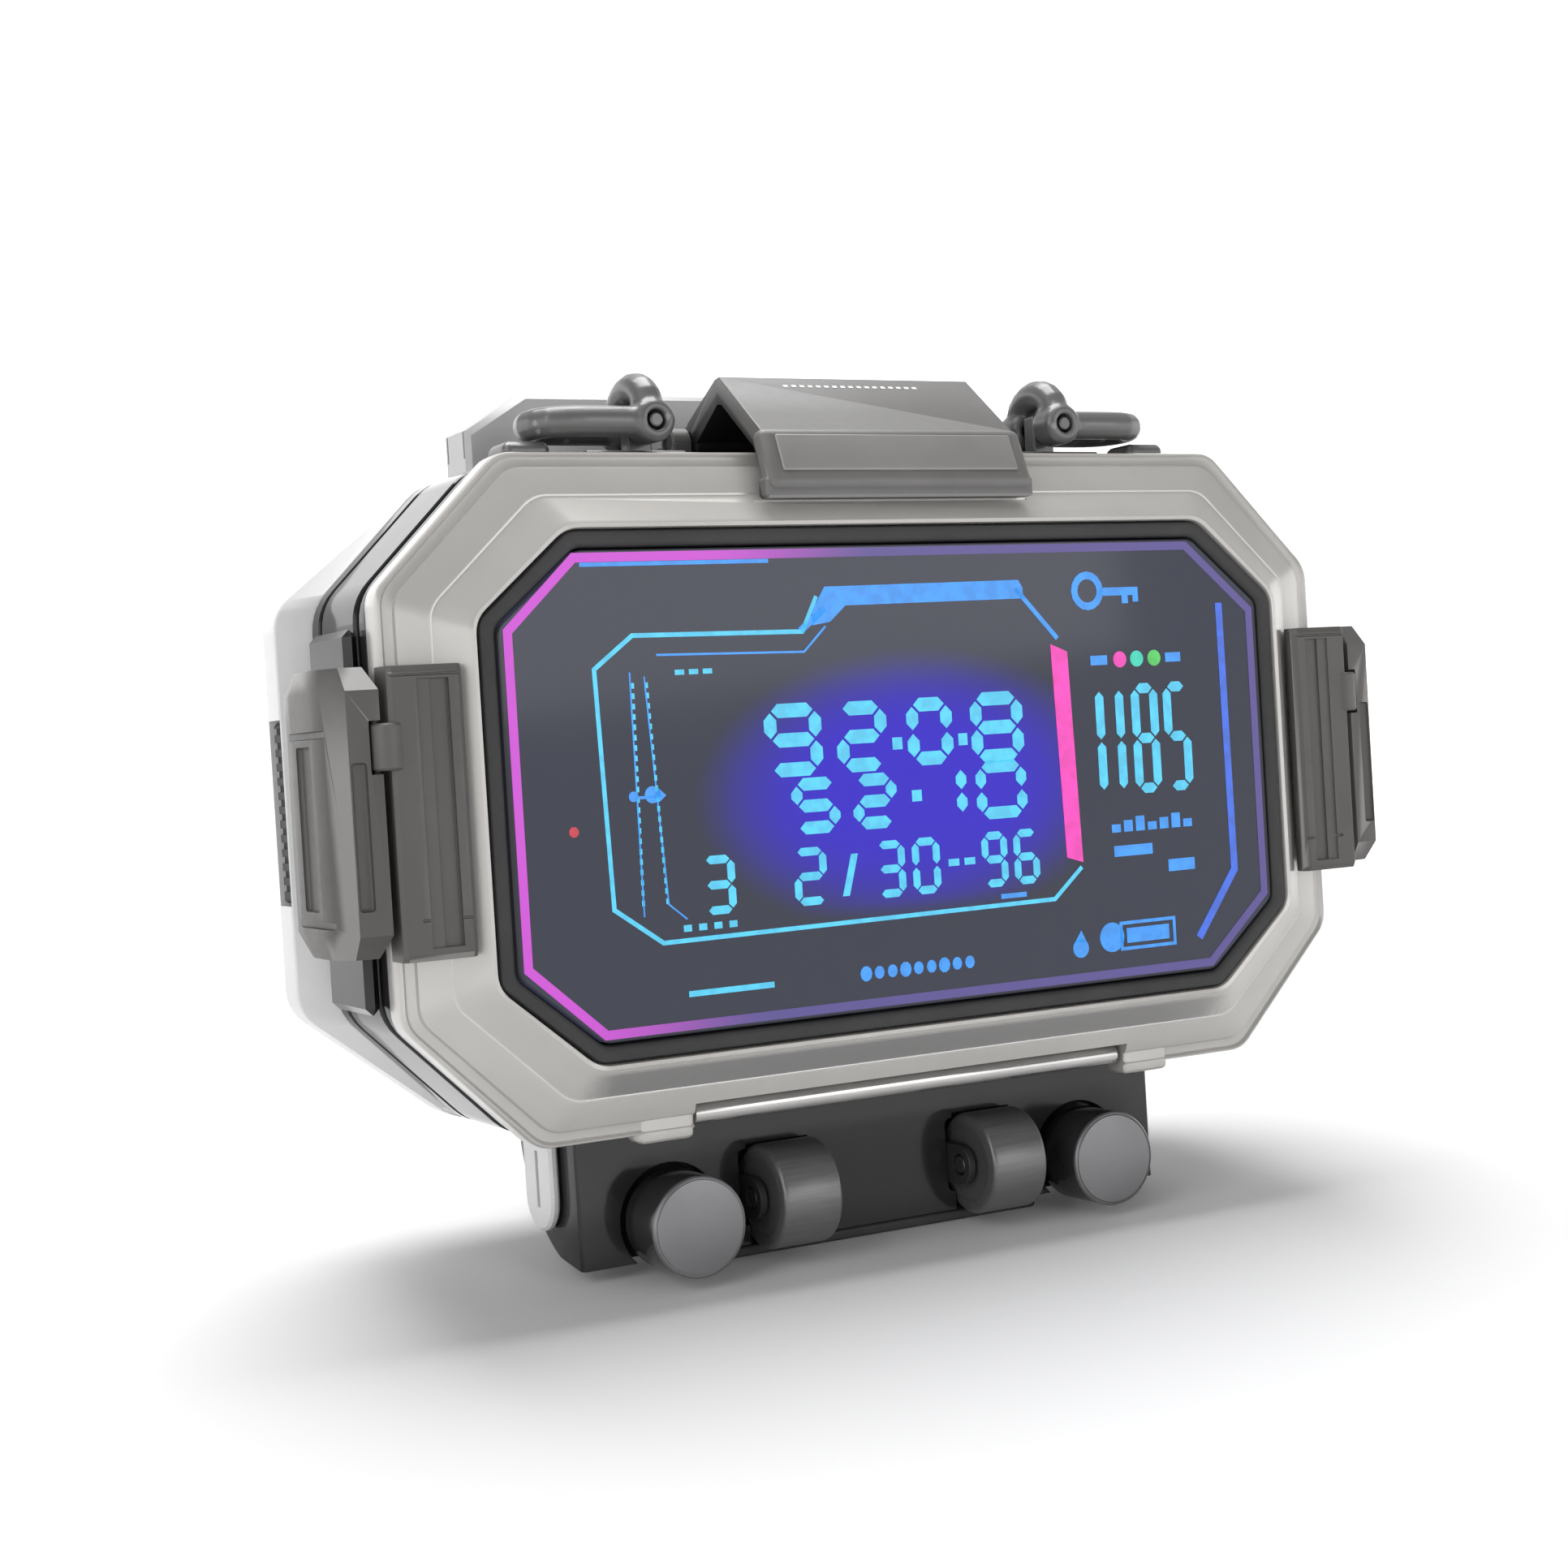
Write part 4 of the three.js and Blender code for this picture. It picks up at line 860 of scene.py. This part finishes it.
# ---- Control plinth ------------------------------------------------------------------------
# A gloss-black quarter drum slung under the case by the hinge rod. Its flat face carries two
# push knobs in round wells and two thumbwheels in slots; satin metal, turned and polished.
rod = turned("hinge_rod_bar", "x", 1.5, -35.6, 35.6, 6.6, -44.4, 0.35)
polished = lacquer("polished_trim", (0.5, 0.49, 0.48), 0.14, grain=0.05, Metallic=0.85)
stand_in(rod, polished, "hinge_rod")


def world_slab(z0, z1, name):
    """A wide level slab between two heights over the bench, in mm, laid on the upright case."""
    piece = slab(-60, 60, -60, 60, z0, z1, name)
    piece.data.transform(CASE.inverted())
    return piece


DRUM_Y, DRUM_Z, DRUM_R, DRUM_LONG = 16.5, -46, 21, 98
KNOB_X, KNOB_Z = 35, -60.3
WHEEL_Y, WHEEL_Z, WHEEL_NEAR, WHEEL_FAR = 13.4, -58.8, 12.8, 22.2

bpy.ops.mesh.primitive_cylinder_add(radius=DRUM_R * MM, depth=DRUM_LONG * MM, vertices=96)
barrel = bpy.context.object
barrel.name = "control_drum"
barrel.data.transform(Matrix.Translation((0, DRUM_Y * MM, DRUM_Z * MM)) @ Matrix.Rotation(math.pi / 2, 4, "Y"))
bpy.ops.object.mode_set(mode="EDIT")
for place, normal in (((0, DRUM_Y, 0), (0, -1, 0)), ((0, 0, -46.5), (0, 0, 1))):
    bpy.ops.mesh.select_all(action="SELECT")
    bpy.ops.mesh.bisect(plane_co=[c * MM for c in place], plane_no=normal, use_fill=True, clear_outer=True)
bpy.ops.object.mode_set(mode="OBJECT")
soften(barrel, 2.4, 5, 40)
wells = []
for side in (-1, 1):
    wells.append(turned("knob_well", "y", 7.9, 14, 19.4, side * KNOB_X, KNOB_Z, 0.5))
    wells.append(turned("stem_bore", "y", 3.4, 15, 24.9, side * KNOB_X, KNOB_Z, 0))
    low, high = sorted((side * (WHEEL_NEAR - 0.4), side * (WHEEL_FAR + 0.4)))
    wells.append(turned("wheel_well", "x", 7.95, low, high, WHEEL_Y, WHEEL_Z, 0))
    slot = slab(*sorted((side * 11.1, side * 23.9)), 14.5, 22.7, -63.2, -52.2, "wheel_slot")
    soften(slot, 0.9)
    wells.append(slot)
carve(barrel, *wells, world_slab(-40, 1.9, "underside"))
smooth(barrel, 24)
stand_in(barrel, gloss, "control_barrel")

knob_face = Coat("turned_metal", (0.22, 0.215, 0.22), 0.34, Metallic=0.55)
right, back, up = knob_face.case_place()
off_x, off_z = abs(right) - KNOB_X, up - KNOB_Z
ring_r = (off_x * off_x + off_z * off_z).sum("SQRT")
turning = (ring_r * 34).sum("SINE")
on_side = back.above(7.5, 7.75)
satin = knob_face.mix(knob_face.noise(90, 4), (0.145, 0.142, 0.147, 1), (0.195, 0.191, 0.197, 1))
knob_face.set("Base Color", knob_face.mix(on_side, satin, (0.06, 0.059, 0.06, 1)))
knob_face.set("Roughness", 0.32 - on_side * 0.22 + turning * 0.03 + knob_face.noise(300, 3) * 0.08)
knob_face.bump(turning + knob_face.noise(800, 2), 0.00001, 0.12)
wheel_metal = Coat("brushed_rim", (0.2, 0.195, 0.195), 0.36, Metallic=0.5)
fine_lines = wheel_metal.node("ShaderNodeTexNoise", {}, Vector=wheel_metal.node(
    "ShaderNodeMapping", {}, wheel_metal.object_point, (0, 0, 0), (0, 0, 0), (3, 60, 60)), Scale=40, Detail=4)
wheel_metal.set("Base Color", wheel_metal.mix(fine_lines, (0.1, 0.098, 0.098, 1), (0.175, 0.171, 0.17, 1)))
wheel_metal.set("Roughness", 0.28 + fine_lines * 0.16)
wheel_metal.bump(fine_lines, 0.00003, 0.15)

for hand, side in (("left", -1), ("right", 1)):
    knob = turned(f"push_knob_turned_{hand}", "y", 7.1, 7, 16.8, side * KNOB_X, KNOB_Z, 0.45, 96)
    carve(knob, turned("face_line", "y", 6.75, 6.5, 7.12, side * KNOB_X, KNOB_Z, 0, 96))
    unite(knob, turned("face_pad", "y", 6.62, 7.0, 8.0, side * KNOB_X, KNOB_Z, 0.12, 96),
          turned("stem", "y", 3, 16.0, 22.3, side * KNOB_X, KNOB_Z, 0.3))
    smooth(knob, 30)
    stand_in(knob, knob_face, f"push_knob_{hand}")
    near, far = sorted((side * WHEEL_NEAR, side * WHEEL_FAR))
    wheel = turned(f"thumbwheel_turned_{hand}", "x", 7.5, near, far, WHEEL_Y, WHEEL_Z, 0.7, 96)
    carve(wheel, turned("bore", "x", 1.8, near - 0.5, far + 0.5, WHEEL_Y, WHEEL_Z, 0),
          *[turned("side_dish", "x", 5.6, x - 0.2, x + 0.2, WHEEL_Y, WHEEL_Z, 0.1) for x in (near, far)])
    smooth(wheel, 30)
    stand_in(wheel, wheel_metal, f"thumbwheel_{hand}")
    stand_in(refined(f"drum_cap_{hand}", f"drum_end_cap_{hand}", 0.45), pearl, f"drum_cap_{hand}")
    stand_in(refined(f"wheel_axle_{hand}", f"wheel_axle_pin_{hand}", 0.15), pin_dark, f"wheel_axle_{hand}")
    stand_in(refined(f"wheel_yoke_{hand}", f"wheel_yoke_moulding_{hand}", 0.2), rubber, f"wheel_yoke_{hand}")
    stand_in(refined(f"knob_switch_{hand}", f"knob_switch_body_{hand}", 0.2), rubber, f"knob_switch_{hand}")


# ---- Feet ----------------------------------------------------------------------------------
# A soft rubber pad under the drum, and a cast stand at the back that turns down on a pin.
stand_in(refined("front_pad", "soft_front_pad", 0.3), rubber, "front_pad")
stand_in(refined("rear_stand", "fold_down_stand", 0.7), latch_coat, "rear_stand")
stand_in(refined("stand_bracket", "stand_hinge_bracket", 0.25, segments=2), latch_coat, "stand_bracket")
stand_in(refined("stand_pin", "stand_hinge_pin", 0.15), steel, "stand_pin")
